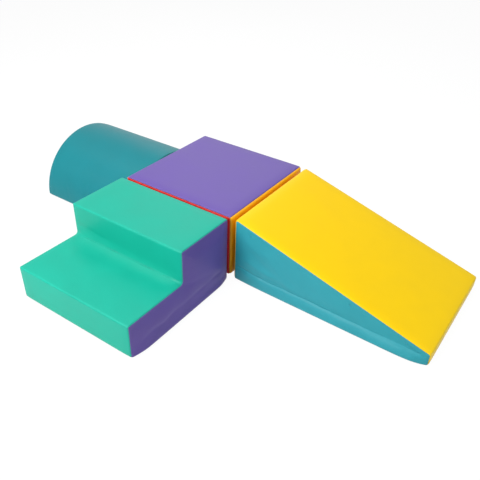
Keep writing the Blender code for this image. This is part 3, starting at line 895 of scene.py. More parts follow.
@dataclass
class Panel:
    """One sewn piece of cover cloth, laid out before it swells."""

    block: "SewnBlock"
    node: str
    finish: Finish
    crown: float
    flat: Array
    outward: Array
    full_lift: Array
    seam_reach: Array
    held: Array
    faces: Faces
    pucker: float = 0.22 * MM
    pucker_wave: float = 17 * MM
    piece: bpy.types.Object | None = None

    def __post_init__(self) -> None:
        """Works out its puckers and folds, and where it lies flat under what is sewn on."""
        reach = self.seam_reach
        pull = np.exp(-(((reach - HELD_EDGE) / (6 * MM)) ** 2)) * smooth_step(0, 3 * MM, reach)
        self.detail = self.pucker * pull * soft_waves(self.flat, self.pucker_wave, sum(self.node.encode()))
        clear = smooth_step(3 * MM, 14 * MM, reach)
        for fold in self.block.folds.get(self.node, []):
            self.detail = self.detail + fold.lift(self.flat, self.outward) * clear
        self.seated = np.max([sewn_on.seat().hold(self.flat) for sewn_on in self.block.sewn_on], axis=0)
        self.start_lift = self.block.start_share * self.full_lift

    def at_lift(self, lift: Array) -> Array:
        """World coordinates of its points when they stand this far out."""
        return carried(self.flat + self.outward * lift[:, None], self.block.matrix)

    def lay_out(self) -> None:
        """Makes the panel's object in its starting shape."""
        places = self.at_lift(self.start_lift)
        self.piece = make_mesh_object(self.node.replace("_cover", "_panel"), places, self.faces)

    def shape(self, swelling: Array) -> None:
        """Gives the panel its final shape.

        Args:
            swelling: How far the cloth moved outwards in the simulation, for each vertex.
        """
        room = np.maximum(self.full_lift - self.start_lift, 0.05 * MM)
        eased = room * (1 - np.exp(-np.maximum(swelling, 0) / room)) + np.minimum(swelling, 0) * 0.5
        free = self.start_lift + eased + self.detail
        places = self.at_lift(free * (1 - self.seated) + self.crown * self.seated)
        self.piece.data.vertices.foreach_set("co", places.ravel())
        reach = self.piece.data.attributes.new("seam_reach", "FLOAT", "POINT")
        reach.data.foreach_set("value", self.seam_reach)
        self.piece.data.update()

    def dress(self) -> None:
        """Adds the subdivision, the cloth's thickness and its finish, and puts the panel in the frame."""
        smooth = self.piece.modifiers.new("smooth", "SUBSURF")
        smooth.levels = smooth.render_levels = 1
        smooth.boundary_smooth = "PRESERVE_CORNERS"
        cloth = self.piece.modifiers.new("thickness", "SOLIDIFY")
        cloth.thickness, cloth.offset = CLOTH_THICKNESS, -1
        put_in_frame(self.piece, self.finish, self.block.body, self.node)


# What is sewn on


def tube(path: Array, radius: float, sides: int) -> Shape:
    """A round bar along a path, closed at both ends.

    Args:
        path: Its middle line.
        radius: Its radius.
        sides: How many sides it has.

    Returns:
        Its points and faces.
    """
    way = np.gradient(path, axis=0)
    way /= np.linalg.norm(way, axis=1)[:, None]
    # Every ring starts on the same side of the plane that the path bends in, so the bar never twists
    aside = np.repeat(np.linalg.svd(path - path.mean(axis=0))[2][-1:], len(path), axis=0)
    above = np.cross(way, aside)
    angles = 2 * math.pi * np.arange(sides)[:, None] / sides
    # The first and last rings are drawn in, so the ends look rounded
    size = np.full((len(path), 1, 1), radius)
    size[[0, -1]] *= 0.55
    ring = aside[:, None] * np.cos(angles) + above[:, None] * np.sin(angles)
    return (path[:, None] + ring * size).reshape(-1, 3), capped(len(path), sides)


def plate(length: float, width: float, corner: float, thickness: float, edge: float) -> Shape:
    """A flat rectangle with round corners and a softened top edge.

    Args:
        length: Its size along.
        width: Its size across.
        corner: The radius of its corners.
        thickness: Its thickness.
        edge: How far its top edge is drawn in.

    Returns:
        Its points and faces.
    """
    turns = np.radians(np.concatenate([np.linspace(start, start + 90, 5) for start in (0, 90, 180, 270)]))
    spokes = np.stack([np.cos(turns), np.sin(turns)], axis=1)
    quarters = np.repeat([[1, 1], [-1, 1], [-1, -1], [1, -1]], 5, axis=0)
    centres = quarters * (np.array([length, width]) / 2 - corner)
    rings = [
        (0, edge * 0.4), (edge * 0.4, 0), (thickness - edge, 0), (thickness - edge * 0.3, edge * 0.3),
        (thickness, edge),
    ]
    points = [np.insert(centres + spokes * (corner - inset), 2, up, axis=1) for up, inset in rings]
    return np.concatenate(points), capped(len(rings), len(turns))


@dataclass
class SewnOn:
    """Something narrow that is sewn onto a block's face: along +X, up +Y, out of the cover +Z."""

    block: "SewnBlock"

    def place(self) -> tuple[Vector, Vector]:
        """Its middle on the cover, and the level direction that it faces, in the block's own frame."""
        raise NotImplementedError

    def placed(self, name: str, shape: Shape, finish: Finish, node: str, smooth: bool = True) -> None:
        """Makes one piece of it and puts that in the frame.

        Args:
            name: The piece's name.
            shape: Its points and faces, in this thing's own frame.
            finish: Its finish.
            node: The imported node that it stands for.
            smooth: Whether it is shaded smooth.
        """
        middle, facing = self.place()
        upright = Vector((0, 0, 1))
        turned = Matrix((upright.cross(facing), upright, facing)).transposed().to_4x4()
        matrix = self.block.matrix @ Matrix.Translation(middle + facing * SEAT_GAP) @ turned
        piece = make_mesh_object(name, carried(shape[0], matrix), shape[1])
        if not smooth:
            piece.data.shade_flat()
        put_in_frame(piece, finish, self.block.body, node)

    def stitches(self, reach: float, side: float, up: float, pitch: float) -> Shape:
        """Two rows of lockstitches.

        Args:
            reach: How far each row runs both ways from the middle.
            side: How far each row is from the middle line.
            up: Height of the web that they are sewn into.
            pitch: From one stitch to the next.

        Returns:
            Their points and faces.
        """
        steps = np.arange(-reach, reach + 1 * MM, pitch)
        places = np.array([[step, row, up] for row in (-side, side) for step in steps])
        stitch = np.array([(-1.3, 0, -0.05), (-0.8, 0, 0.16), (0.8, 0, 0.16), (1.3, 0, -0.05)]) * MM
        return repeated(tube(stitch, 0.26 * MM, 5), places)


@dataclass
class Zip(SewnOn):
    """A closed coil zip: a woven tape, the coil, a stop at each end, and two rows of stitches."""

    side: int
    crown: float
    middle: float
    length: float
    tape_width: float = 28 * MM
    tape: float = 0.8 * MM
    coil_width: float = 6 * MM
    coil_height: float = 2 * MM
    filament: float = 0.42 * MM
    tooth_pitch: float = 2 * MM
    stop_length: float = 4 * MM
    edge_gap: float = 4 * MM
    seat_depth: float = 40 * MM

    @property
    def height(self) -> float:
        """Height of the zip's middle line above the floor."""
        return max(self.block.side_margin, self.block.base_radius) + self.edge_gap + self.tape_width / 2

    def place(self) -> tuple[Vector, Vector]:
        """Its middle on the cover, and the direction that it faces."""
        face = self.side * (self.block.width / 2 + self.crown)
        return Vector((self.middle, face, self.height)), Vector((0, self.side, 0))

    def seat(self) -> Seat:
        """The place on the panel where the cloth lies flat under the tape."""
        centre = (self.middle, self.side * self.block.width / 2, self.height)
        return Seat(centre, (self.length / 2 + 3 * MM, self.seat_depth, self.tape_width / 2 + 2 * MM))

    def build(self) -> None:
        """Makes the tape, the coil, the stops and the stitches, and dresses the slider and its pull."""
        name = self.block.body + "_zip"
        node = name + "_tape"
        ground = plate(self.length, self.tape_width, 0.6 * MM, self.tape, 0.25 * MM)
        stop = plate(self.stop_length, 9 * MM, 1.2 * MM, 3 * MM, 0.8 * MM)
        ends = np.array([[end * (self.length - self.stop_length) / 2, 0, self.tape] for end in (-1, 1)])
        thread = self.stitches(self.length / 2 - 4 * MM, self.tape_width / 2 - 2.6 * MM, self.tape, 3.5 * MM)
        self.placed(name + "_woven_tape", ground, ZIP_WEB, node, smooth=False)
        self.placed(name + "_coil", self._coil(), ZIP_COIL, node)
        self.placed(name + "_stops", repeated(stop, ends), ZIP_STOP, node, smooth=False)
        self.placed(name + "_stitches", thread, THREAD, node)
        for moving in ("_slider", "_pull"):
            cast = bpy.data.objects[name + moving]
            cast.data.materials.clear()
            cast.data.materials.append(ZINC.material())
            softened = cast.modifiers.new("cast_edges", "BEVEL")
            softened.width, softened.segments, softened.limit_method = 0.18 * MM, 2, "ANGLE"

    def _coil(self) -> Shape:
        """The coil's turns, which come from each side in turn and lock over the middle.

        Returns:
            Their points and faces.
        """
        half, low = self.coil_width / 2 - self.filament, self.tape + self.filament
        crest = self.tape + self.coil_height - self.filament
        turn = np.array([
            (0, -half, low), (0, -half + 0.25 * MM, crest - 0.35 * MM), (0, -half * 0.66, crest),
            (0, 0.1 * MM, crest), (0, 0.75 * MM, crest - 0.5 * MM),
        ])
        room = self.length / 2 - self.stop_length - 1 * MM
        steps = np.arange(-room, room - self.tooth_pitch / 2, self.tooth_pitch)
        return joined(
            repeated(tube(turn * [1, side, 1], self.filament, 6), np.outer(steps + shift, [1, 0, 0]))
            for side, shift in ((1, 0.0), (-1, self.tooth_pitch / 2))
        )


class Grip(Enum):
    """Which half of a hook and loop fastening a strip is."""

    LOOPS = "loop"
    HOOKS = "hook"


@dataclass
class Strip(SewnOn):
    """A sewn fastening strip: a woven web with rows of hooks or loops, and stitches round its edge.

    The hooks and loops are drawn 4 mm apart, as the real ones would be too fine to see.
    """

    node: str
    centre: tuple[float, float]
    direction: tuple[float, float]
    grip: Grip
    length: float = 360 * MM
    width: float = 50 * MM
    middle_height: float = 130 * MM
    corner: float = 8 * MM
    web: float = 0.8 * MM
    pitch: float = 4 * MM
    scatter: float = 0.25 * MM
    seat_depth: float = 40 * MM

    def place(self) -> tuple[Vector, Vector]:
        """Its middle on the cover, and the direction that it faces."""
        return Vector((*self.centre, self.middle_height)), Vector((*self.direction, 0))

    def seat(self) -> Seat:
        """The place on the panel where the cloth lies flat under the strip."""
        half = [self.seat_depth if way else self.length / 2 for way in self.direction]
        return Seat((*self.centre, self.middle_height), (*half, self.width / 2))

    def build(self) -> None:
        """Makes the web, its hooks or loops, and the stitches."""
        ground = plate(self.length, self.width, self.corner, self.web, 0.25 * MM)
        finish = STRIP_LOOPS if self.grip is Grip.LOOPS else STRIP_HOOKS
        thread = self.stitches(self.length / 2 - 9 * MM, self.width / 2 - 2.4 * MM, self.web, 3.6 * MM)
        self.placed(self.node + "_web", ground, STRIP_WEB, self.node, smooth=False)
        self.placed(self.node + "_" + self.grip.value + "s", self._pile(), finish, self.node)
        self.placed(self.node + "_stitches", thread, STRIP_THREAD, self.node)

    def _pile(self) -> Shape:
        """The rows of hooks or loops, each a bent filament.

        Returns:
            Their points and faces.
        """
        if self.grip is Grip.LOOPS:
            path = [(-1.2, 0, -0.2), (-1.1, 0.2, 0.7), (-0.2, 0.3, 1.12), (0.8, 0.1, 0.8), (1.1, -0.2, -0.2)]
            radius = 0.24 * MM
        else:
            path = [(0, 0, -0.2), (0, 0, 0.4), (0.15, 0, 0.68), (0.6, 0, 0.74), (0.9, 0, 0.42)]
            radius = 0.22 * MM
        rows = np.arange(-self.width / 2 + 5.5 * MM, self.width / 2 - 5 * MM, self.pitch * 0.75)
        steps = np.arange(-self.length / 2 + 6 * MM, self.length / 2 - 5 * MM, self.pitch)[:-1]
        places = np.array([
            [step + self.pitch / 2 * (number % 2), row, self.web]
            for number, row in enumerate(rows)
            for step in steps
        ])
        places[:, :2] += np.random.default_rng(len(self.node)).normal(0, self.scatter, (len(places), 2))
        return repeated(tube(np.array(path) * MM, radius, 4), places)


# The blocks


@dataclass
class SewnBlock:
    """A foam block in a sewn cover: an outline carried across a width, tucked in at the floor."""

    body: str = ""
    width: float = 600 * MM
    base_radius: float = 10 * MM
    side_margin: float = 45 * MM
    foot: float = 0.0
    foot_height: float = 48 * MM
    foot_lean: float = 0.0
    start_share: float = 0.6
    spacing: float = 12 * MM
    inset: float = 0.0
    roll: SeamRoll = SeamRoll()
    matrix: Matrix = field(default_factory=Matrix)
    corners: list[Corner] = field(default_factory=list)
    folds: dict[str, list[Fold]] = field(default_factory=dict)
    panels: list[Panel] = field(default_factory=list)
    outline_kind: type[Outline] = Outline
    zip: Zip | None = None
    strips: list[Strip] = field(default_factory=list)

    def __post_init__(self) -> None:
        """Reads the outline and the seam's own inset."""
        self.outline = self.outline_kind(self.corners, self.base_radius, self.roll, self.spacing)
        self.seam_inset = float(self.roll.profile(math.pi / 2, np.zeros(1))[1][0])

    @property
    def sewn_on(self) -> list[SewnOn]:
        """The zip and the strips."""
        return [self.zip, *self.strips]

    def feet(self, start: float, end: float) -> list[Corner]:
        """The two rounded corners at the floor."""
        return [Corner(along, 0, self.base_radius, 6) for along in (start, end)]

    def side_folds(self, side: int, *rows: tuple[float, ...]) -> list[Fold]:
        """Folds on a side, from rows of along, up, along, up, width, height and a fold's further fields."""
        across = side * self.width / 2 / MM
        return [Fold((row[0], across, row[1]), (row[2], across, row[3]), *row[4:]) for row in rows]

    def foot_spread(self, plane: Array, side: int) -> Array:
        """How far the block's weight spreads the foot of a side, most in the middle of its length.

        Args:
            plane: Points of the side view, along and up.
            side: Which side, -1 or 1. The one with the zip stays straight.

        Returns:
            The spread at each.
        """
        if side == self.zip.side:
            return np.zeros(len(plane))
        first, last = self.corners[0].along, self.corners[1].along
        share = np.clip((plane[:, 0] - (first + last) / 2) / ((last - first) / 2), -1, 1)
        most = self.foot * (1 + self.foot_lean * share) * (1 - share**10)
        return most * (1 - smooth_step(0, self.foot_height, plane[:, 1]))

    def reach_across(self, plane: Array, side: int, inset: float) -> Array:
        """Half the width at points of the side view, drawn in by an arc where the side tucks under.

        Args:
            plane: Points of the side view, along and up.
            side: Which side, -1 or 1.
            inset: Depth under the cloth's face.

        Returns:
            The half widths.
        """
        deep = np.minimum(inset + self.inset, self.base_radius * 0.9)
        radius = self.base_radius - deep
        below = np.clip(radius - (plane[:, 1] - deep), 0, radius)
        return self.width / 2 + self.foot_spread(plane, side) - deep - radius + np.sqrt(radius**2 - below**2)

    def sheet(self, name: str, start: int, end: int, swell: Swell, finish: Finish) -> None:
        """Lays out a piece of cloth that follows the outline from one corner to another.

        Args:
            name: Which panel it is.
            start: The corner where it starts.
            end: The corner where it ends.
            swell: How it swells.
            finish: Its finish.
        """
        spans, count = self.outline.corner_stations, len(self.outline.places)
        base = (start, end) == (0, 1)
        first, last = (spans[0][1], spans[1][0]) if base else (spans[start][0], spans[end][1])
        rows = np.arange(first, last + 1 + (count if last <= first else 0)) % count
        edge = np.array(self.roll.stations)
        inward, depth = self.roll.profile(math.pi / 2, edge)
        middle = self.width - 2 * edge[-1]
        straight = max(round(middle / self.spacing), 2)
        columns = 2 * len(edge) + straight - 1
        grid, reach = np.zeros((len(rows), columns, 3)), np.zeros(columns)
        for column, value in enumerate(edge):
            plane = self.outline.ring(self.inset + (0 if base else depth[column]), self.inset, 0)[rows]
            tuck = min(inward[column], self.seam_inset)
            for side, at in ((-1, column), (1, columns - 1 - column)):
                half = self.reach_across(plane, side, tuck) - max(inward[column] - self.seam_inset, 0)
                grid[:, at] = np.insert(plane, 1, side * half, axis=1)
                reach[at] = value
        left, right = grid[:, len(edge) - 1], grid[:, -len(edge)]
        for step in range(1, straight):
            share = step / straight
            grid[:, len(edge) - 1 + step] = left * (1 - share) + right * share
            reach[len(edge) - 1 + step] = edge[-1] + middle * min(share, 1 - share)
        places = self.outline.places[rows]
        travelled = np.concatenate([[0], np.cumsum(np.linalg.norm(np.diff(places, axis=0), axis=1))])
        ends = np.full(len(rows), np.inf)
        for corner, run in ((start, travelled), (end, travelled[-1] - travelled)):
            if self.corners[corner].seam:
                ends = np.minimum(ends, run)
        facing = np.insert(self.outline.outward[rows], 1, 0.0, axis=1)
        full_lift = swell.lift(places[:, 1:], ends[:, None], reach)
        seam_reach = np.minimum(reach, ends[:, None])
        still = (places[:, 1] < self.base_radius * 0.9) | self.outline.bent[rows]
        self.panels.append(Panel(
            self, f"{self.body}_{name}_cover", finish, swell.crown, grid.reshape(-1, 3),
            np.repeat(facing, columns, axis=0), full_lift.ravel(), seam_reach.ravel(),
            ((seam_reach < HELD_EDGE) | still[:, None]).ravel(), quads(len(rows), columns, closed=False),
        ))

    def _tuck(self, reach: float) -> float:
        """Height above the floor of a point on a side panel.

        Args:
            reach: Its distance from the floor seam along the cloth.

        Returns:
            The height.
        """
        radius = self.base_radius - self.inset
        angle = min(reach / radius, math.pi / 2)
        return self.inset + radius * (1 - math.cos(angle)) + reach - radius * angle

    def _seam_distance(self, places: Array) -> Array:
        """Distance of points on a side panel from the seams round it, leaving out the floor's.

        Args:
            places: Points of the side view, along and up.

        Returns:
            The distances.
        """
        stations, count = self.outline.corner_stations, len(self.outline.places)
        line = self.outline.places[np.arange(stations[1][0], stations[0][1] + count + 1) % count]
        return line_distance(places, line[:-1], np.diff(line, axis=0))

    def side(self, name: str, side: int, swell: Swell, finish: Finish) -> None:
        """Lays out a piece of cloth that closes one side of the block.

        Args:
            name: Which panel it is.
            side: Which side, -1 or 1.
            swell: How it swells.
            finish: Its finish.
        """
        node = f"{self.body}_{name}_cover"
        stations = [value for value in self.roll.stations if value < self.side_margin - 3 * MM]
        stations.append(self.side_margin)
        rings, reaches = [], []
        for value in stations:
            inward, depth = (float(found[0]) for found in self.roll.profile(math.pi / 2, np.array([value])))
            even = float(smooth_step(6 * MM, self.side_margin, value))
            plane = self.outline.ring(self.inset + inward, self._tuck(value), even)
            rings.append(np.insert(plane, 1, side * self.reach_across(plane, side, depth), axis=1))
            reaches.append(np.full(len(plane), value))
        sharp = [fold.rows(self.spacing) for fold in self.folds.get(node, [])]
        inner, triangles = self._filled(plane, np.concatenate([np.zeros((0, 2)), *sharp]))
        half = self.width / 2 - self.inset + self.foot_spread(inner, side)
        places = np.concatenate([*rings, np.insert(inner, 1, side * half, axis=1)])
        reach = np.concatenate([*reaches, np.full(len(inner), self.side_margin + self.spacing)])
        offset = (len(rings) - 1) * len(plane)
        faces = quads(len(rings), len(plane), closed=True)
        faces += [tuple(offset + corner for corner in triangle) for triangle in triangles]
        if side > 0:
            faces = [tuple(reversed(face)) for face in faces]
        along, up = places[:, 0], places[:, 2]
        if swell.top_margin is None:
            full_lift = swell.lift(up, self._seam_distance(places[:, [0, 2]]))
        else:
            ends = np.minimum(along - self.corners[0].along, self.corners[1].along - along)
            full_lift = swell.lift(up, ends, top=self.corners[2].up - up)
        facing = np.tile([0.0, float(side), 0.0], (len(places), 1))
        held = (reach < HELD_EDGE) | (up < self.base_radius * 0.9)
        self.panels.append(Panel(
            self, node, finish, swell.crown, places, facing, full_lift, reach, held, faces
        ))

    def _filled(self, border: Array, sharp: Array) -> tuple[Array, Faces]:
        """Triangles that fill a closed border.

        Args:
            border: Its points in order.
            sharp: Points along narrow folds, which take the place of the even ones near them.

        Returns:
            The points that were added inside, and the triangles, numbered with the border first.
        """
        step = self.spacing
        low, high = border.min(axis=0), border.max(axis=0)
        folds = sharp[well_inside(sharp, border, 3 * MM)]
        lattice = np.array([
            (along, up)
            for row, up in enumerate(np.arange(low[1] + step / 2, high[1], step * math.sqrt(3) / 2))
            for along in np.arange(low[0] + step / 2 * (1 + row % 2), high[0], step)
        ])
        clear = np.linalg.norm(lattice[:, None] - folds, axis=2).min(axis=1, initial=step) > step * 0.45
        inner = np.concatenate([folds, lattice[clear & well_inside(lattice, border, step * 0.7)]])
        every = np.concatenate([border, inner])
        _, _, faces, origins, _, _ = delaunay_2d_cdt(
            [Vector(place) for place in every], [], [list(range(len(border)))], 1, 1e-7, True
        )
        triangles = np.array([[origins[corner][0] for corner in face] for face in faces])
        kept = well_inside(every[triangles].mean(axis=1), border, 0)
        return inner, [tuple(triangle) for triangle in triangles[kept].tolist()]

    def lay_out(self) -> None:
        """Lays out every panel of the block."""
        raise NotImplementedError

    def foam_core(self) -> None:
        """Cuts the block's foam, which fills the cover a little under the cloth, and puts it in the frame."""
        inside = type(self)(
            inset=5 * MM, spacing=34 * MM, roll=SeamRoll(5 * MM, 0.02 * MM, 0.02 * MM), start_share=0.2
        )
        inside.lay_out()
        places, faces = joined((panel.at_lift(panel.start_lift), panel.faces) for panel in inside.panels)
        core = make_mesh_object(self.body + "_foam_core", places, faces)
        shape = bmesh.new()
        shape.from_mesh(core.data)
        bmesh.ops.remove_doubles(shape, verts=shape.verts, dist=0.05 * MM)
        bmesh.ops.recalc_face_normals(shape, faces=shape.faces)
        shape.to_mesh(core.data)
        shape.free()
        put_in_frame(core, FOAM, self.body, self.body + "_foam")


def quarter_turned(along: float, across: float) -> Matrix:
    """Placement of a block whose own +X runs along the set's -Y."""
    return Matrix.Translation((along, across, 0)) @ Matrix.Rotation(-math.pi / 2, 4, "Z")


@dataclass
class Platform(SewnBlock):
    """The square block in the middle, with a panel of its own colour on each side."""

    body: str = "platform"
    length: float = 600 * MM
    height: float = 306 * MM
    top_crown: float = 5 * MM
    stairs_side_crown: float = 11 * MM
    ramp_side_crown: float = 12 * MM
    half_round_side_crown: float = 2.6 * MM
    back_crown: float = 8 * MM
    tight_margin: float = 15 * MM

    def __post_init__(self) -> None:
        """Sets out the outline, and the places of the zip and the strips."""
        half = self.length / 2
        top = [Corner(along, self.height, seam=True) for along in (half, -half)]
        self.corners = [*self.feet(-half, half), *top]
        super().__post_init__()
        self.zip = Zip(self, 1, self.back_crown, 0, 460 * MM)
        self.strips = [
            Strip(self, f"platform_{facing}_loop_strip", centre, direction, Grip.LOOPS)
            for facing, centre, direction in (
                ("ramp", (half + self.ramp_side_crown, 0), (1, 0)),
                ("half_round", (-half - self.half_round_side_crown, 0), (-1, 0)),
                ("stairs", (0, -self.width / 2 - self.stairs_side_crown), (0, -1)),
            )
        ]

    def lay_out(self) -> None:
        """Lays out the top, the base and the four sides."""
        tight = self.tight_margin
        self.sheet("base", 0, 1, Swell(0), BASE)
        self.sheet("ramp_side", 1, 2, Swell(self.ramp_side_crown, tight), ORANGE)
        self.sheet("top", 2, 3, Swell(self.top_crown), PURPLE)
        self.sheet("half_round_side", 3, 0, Swell(self.half_round_side_crown, tight), ORANGE)
        self.side("stairs_side", -1, Swell(self.stairs_side_crown, 40 * MM, top_margin=tight), RED)
        self.side("back", 1, Swell(self.back_crown), RED)


@dataclass
class Stairs(SewnBlock):
    """Two steps: one sheet over both treads and risers, between two side panels."""

    body: str = "stairs"
    width: float = 612 * MM
    height: float = 314 * MM
    lower_height: float = 160 * MM
    upper_depth: float = 303 * MM
    lower_depth: float = 310 * MM
    nosing: float = 6 * MM
    inner_corner: float = 14 * MM
    foot: float = 14 * MM
    base_radius: float = 12 * MM
    matrix: Matrix = field(default_factory=lambda: quarter_turned(0, -323.9 * MM))
    tread_crown: float = 5 * MM
    side_crown: float = 14 * MM
    back_crown: float = 8 * MM

    def __post_init__(self) -> None:
        """Sets out the outline, the folds, and the places of the zip and the strip."""
        depth = self.upper_depth + self.lower_depth
        self.corners = [
            *self.feet(0, depth),
            Corner(depth, self.lower_height, self.nosing, 8),
            Corner(self.upper_depth, self.lower_height, self.inner_corner, 8),
            Corner(self.upper_depth, self.height, self.nosing, 8),
            Corner(0, self.height, seam=True),
        ]
        self.folds = {
            "stairs_right_side_cover": self.side_folds(
                1, (60, 84, 560, 62, 10, -2.2, 3, 3), (330, 42, 570, 40, 12, 1.2, 0, 5),
                (312, 150, 430, 92, 20, 1.6, 0, 8),
            ),
            "stairs_left_side_cover": self.side_folds(-1, (70, 100, 520, 106, 11, -2.2, 3, 4)),
            "stairs_tread_cover": [
                Fold((303, -290, 160), (303, 292, 160), 26, 11, uneven=0.05),
                Fold((303, -296, 214), (303, -90, 204), 14, -2, seed=6),
                Fold((378, -285, 160), (356, 285, 160), 30, -2, seed=2),
                Fold((345, -292, 160), (470, -150, 160), 22, 1.3, seed=9),
                Fold((420, -288, 160), (575, 60, 160), 34, -1.1, seed=12),
            ],
        }
        super().__post_init__()
        self.zip = Zip(self, -1, self.side_crown, 295 * MM, 460 * MM)
        self.strips = [Strip(self, "stairs_hook_strip", (-self.back_crown, 0), (-1, 0), Grip.HOOKS)]

    def lay_out(self) -> None:
        """Lays out the base, the tread sheet, the back and both sides."""
        sides = Swell(self.side_crown, 70 * MM, fullness=Fullness.SAGGING)
        self.sheet("base", 0, 1, Swell(0), BASE)
        self.sheet("tread", 1, 5, Swell(self.tread_crown), MINT)
        self.sheet("back", 5, 0, Swell(self.back_crown, 28 * MM), MINT)
        self.side("right_side", 1, sides, PURPLE)
        self.side("left_side", -1, sides, PURPLE)


@dataclass
class Ramp(SewnBlock):
    """The wedge: one sheet over the slope and its low lip, between two side panels."""

    body: str = "ramp"
    length: float = 896 * MM
    width: float = 598 * MM
    height: float = 312 * MM
    lip_height: float = 56 * MM
    lip_radius: float = 10 * MM
    side_margin: float = 56 * 0.36 * MM
    foot: float = 14 * MM
    foot_height: float = 58 * MM
    foot_lean: float = 0.75
    matrix: Matrix = field(default_factory=lambda: Matrix.Translation((331.9 * MM, -9 * MM, 0)))
    slope_crown: float = 8 * MM
    side_crown: float = 12 * MM
    near_crown: float = 7 * MM
    back_crown: float = 15 * MM

    def __post_init__(self) -> None:
        """Sets out the outline, the folds, and the places of the zip and the strip."""
        self.corners = [
            *self.feet(0, self.length),
            Corner(self.length, self.lip_height, self.lip_radius, 8),
            Corner(0, self.height, seam=True),
        ]
        lip, face = self.length / MM, self.width / 2 / MM
        self.folds = {
            # The crease above the hem in three stretches, the soft ridge and valley beside it, and the rest
            "ramp_near_side_cover": self.side_folds(
                -1, (12, 82, 150, 67, 5, -4.2, 0, 1, 0.1), (135, 67, 480, 58, 5, -4.2, 1, 3, 0.15),
                (465, 58, 860, 44, 5, -2.8, 1, 5, 0.15), (40, 52, 800, 31, 12, 2.6, 1, 9, 0.2),
                (120, 80, 800, 58, 15, -1.8, 1, 6, 0.2), (36, 132, 300, 84, 15, 3.4, 3, 7),
                (60, 200, 230, 90, 18, -2.4, 0, 11), (150, 210, 300, 70, 16, 2.0, 0, 13),
                (300, 170, 470, 70, 18, -2.0, 0, 15),
            ),
            "ramp_slope_cover": [Fold((lip, -face, 30), (lip, face, 30), 20, -5, uneven=0.0)],
            "ramp_far_side_cover": self.side_folds(1, (60, 92, 560, 88, 10, -2.2, 2, 4)),
        }
        super().__post_init__()
        self.zip = Zip(self, 1, self.side_crown, 325 * MM, 520 * MM)
        self.strips = [Strip(self, "ramp_hook_strip", (-self.back_crown, 9 * MM), (-1, 0), Grip.HOOKS)]

    def lay_out(self) -> None:
        """Lays out the base, the slope, the back and both sides."""
        self.sheet("base", 0, 1, Swell(0), BASE)
        self.sheet("slope", 1, 3, Swell(self.slope_crown), YELLOW)
        self.sheet("back", 3, 0, Swell(self.back_crown, 28 * MM), YELLOW)
        for name, side, crown in (("near_side", -1, self.near_crown), ("far_side", 1, self.side_crown)):
            self.side(name, side, Swell(crown, 90 * MM, fullness=Fullness.SAGGING), TEAL)


@dataclass
class HalfRound(SewnBlock):
    """Half a cylinder lying on its flat, as a roll to climb over."""

    body: str = "half_round"
    radius: float = 304 * MM
    height: float = 300 * MM
    width: float = 606 * MM
    matrix: Matrix = field(default_factory=lambda: quarter_turned(-613.0 * MM, 0))
    arc_crown: float = 3 * MM
    inner_end_crown: float = 2.5 * MM
    outer_end_crown: float = 7 * MM
    arc_steps: int = 80
    outline_kind: type[Outline] = RoundOutline

    def __post_init__(self) -> None:
        """Sets out the outline, and the places of the zip and the strip."""
        self.corners = [*self.feet(-self.radius, self.radius), Corner(0, self.height, 0, self.arc_steps)]
        super().__post_init__()
        self.zip = Zip(self, -1, self.outer_end_crown, 0, 420 * MM)
        inner = self.width / 2 + self.inner_end_crown
        self.strips = [Strip(self, "half_round_hook_strip", (0, inner), (0, 1), Grip.HOOKS)]

    def lay_out(self) -> None:
        """Lays out the base, the arc and both ends."""
        self.sheet("base", 0, 1, Swell(0), BASE)
        self.sheet("arc", 1, 0, Swell(self.arc_crown), DEEP_TEAL)
        self.side("inner_end", 1, Swell(self.inner_end_crown), DEEP_TEAL)
        self.side("outer_end", -1, Swell(self.outer_end_crown), DEEP_TEAL)


@dataclass
class Swelling:
    """The cloth simulation in which every panel swells at once over its foam."""

    pressure: float = 4.0
    frames: int = 20
    spare_cloth: float = 0.004
    bending: float = 0.5

    def run(self, panels: list[Panel]) -> None:
        """Swells the panels and gives each its final shape.

        Args:
            panels: The laid out panels.
        """
        moved = self._simulate(panels)
        for panel, swelling in zip(panels, moved):
            panel.shape(swelling)

    def _simulate(self, panels: list[Panel]) -> list[Array]:
        """Runs the simulation over every panel at once.

        Args:
            panels: The laid out panels.

        Returns:
            How far each vertex moved outwards, for each panel.
        """
        for panel in panels:
            self._load(panel)
        scene = bpy.context.scene
        for number in range(1, self.frames + 1):
            scene.frame_set(number)
        ready = bpy.context.evaluated_depsgraph_get()
        moved = []
        for panel in panels:
            swollen = panel.piece.evaluated_get(ready).data
            places = np.empty(len(swollen.vertices) * 3)
            swollen.vertices.foreach_get("co", places)
            gap = places.reshape(-1, 3) - panel.at_lift(panel.start_lift)
            out = (gap * (panel.outward @ np.array(panel.block.matrix.to_3x3()).T)).sum(axis=1)
            moved.append(out)
            most, mean = out.max() / MM, out.mean() / MM
            log.info("%s swelled %.1f mm at most, %.1f mm on average", panel.node, most, mean)
        for panel in panels:
            panel.piece.modifiers.clear()
        scene.frame_set(1)
        return moved

    def _load(self, panel: Panel) -> None:
        """Sets up the cloth of one panel.

        Args:
            panel: The panel.
        """
        group = panel.piece.vertex_groups.new(name="held")
        group.add([int(number) for number in np.flatnonzero(panel.held)], 1.0, "REPLACE")
        cloth = panel.piece.modifiers.new("cloth", "CLOTH")
        settings = cloth.settings
        settings.vertex_group_mass = "held"
        settings.use_pressure = True
        settings.uniform_pressure_force = self.pressure
        settings.effector_weights.gravity = 0
        settings.shrink_min = -self.spare_cloth
        settings.quality = 5
        settings.bending_stiffness = self.bending
        cloth.collision_settings.use_collision = False
        cloth.point_cache.frame_start = 1
        cloth.point_cache.frame_end = self.frames


# The studio


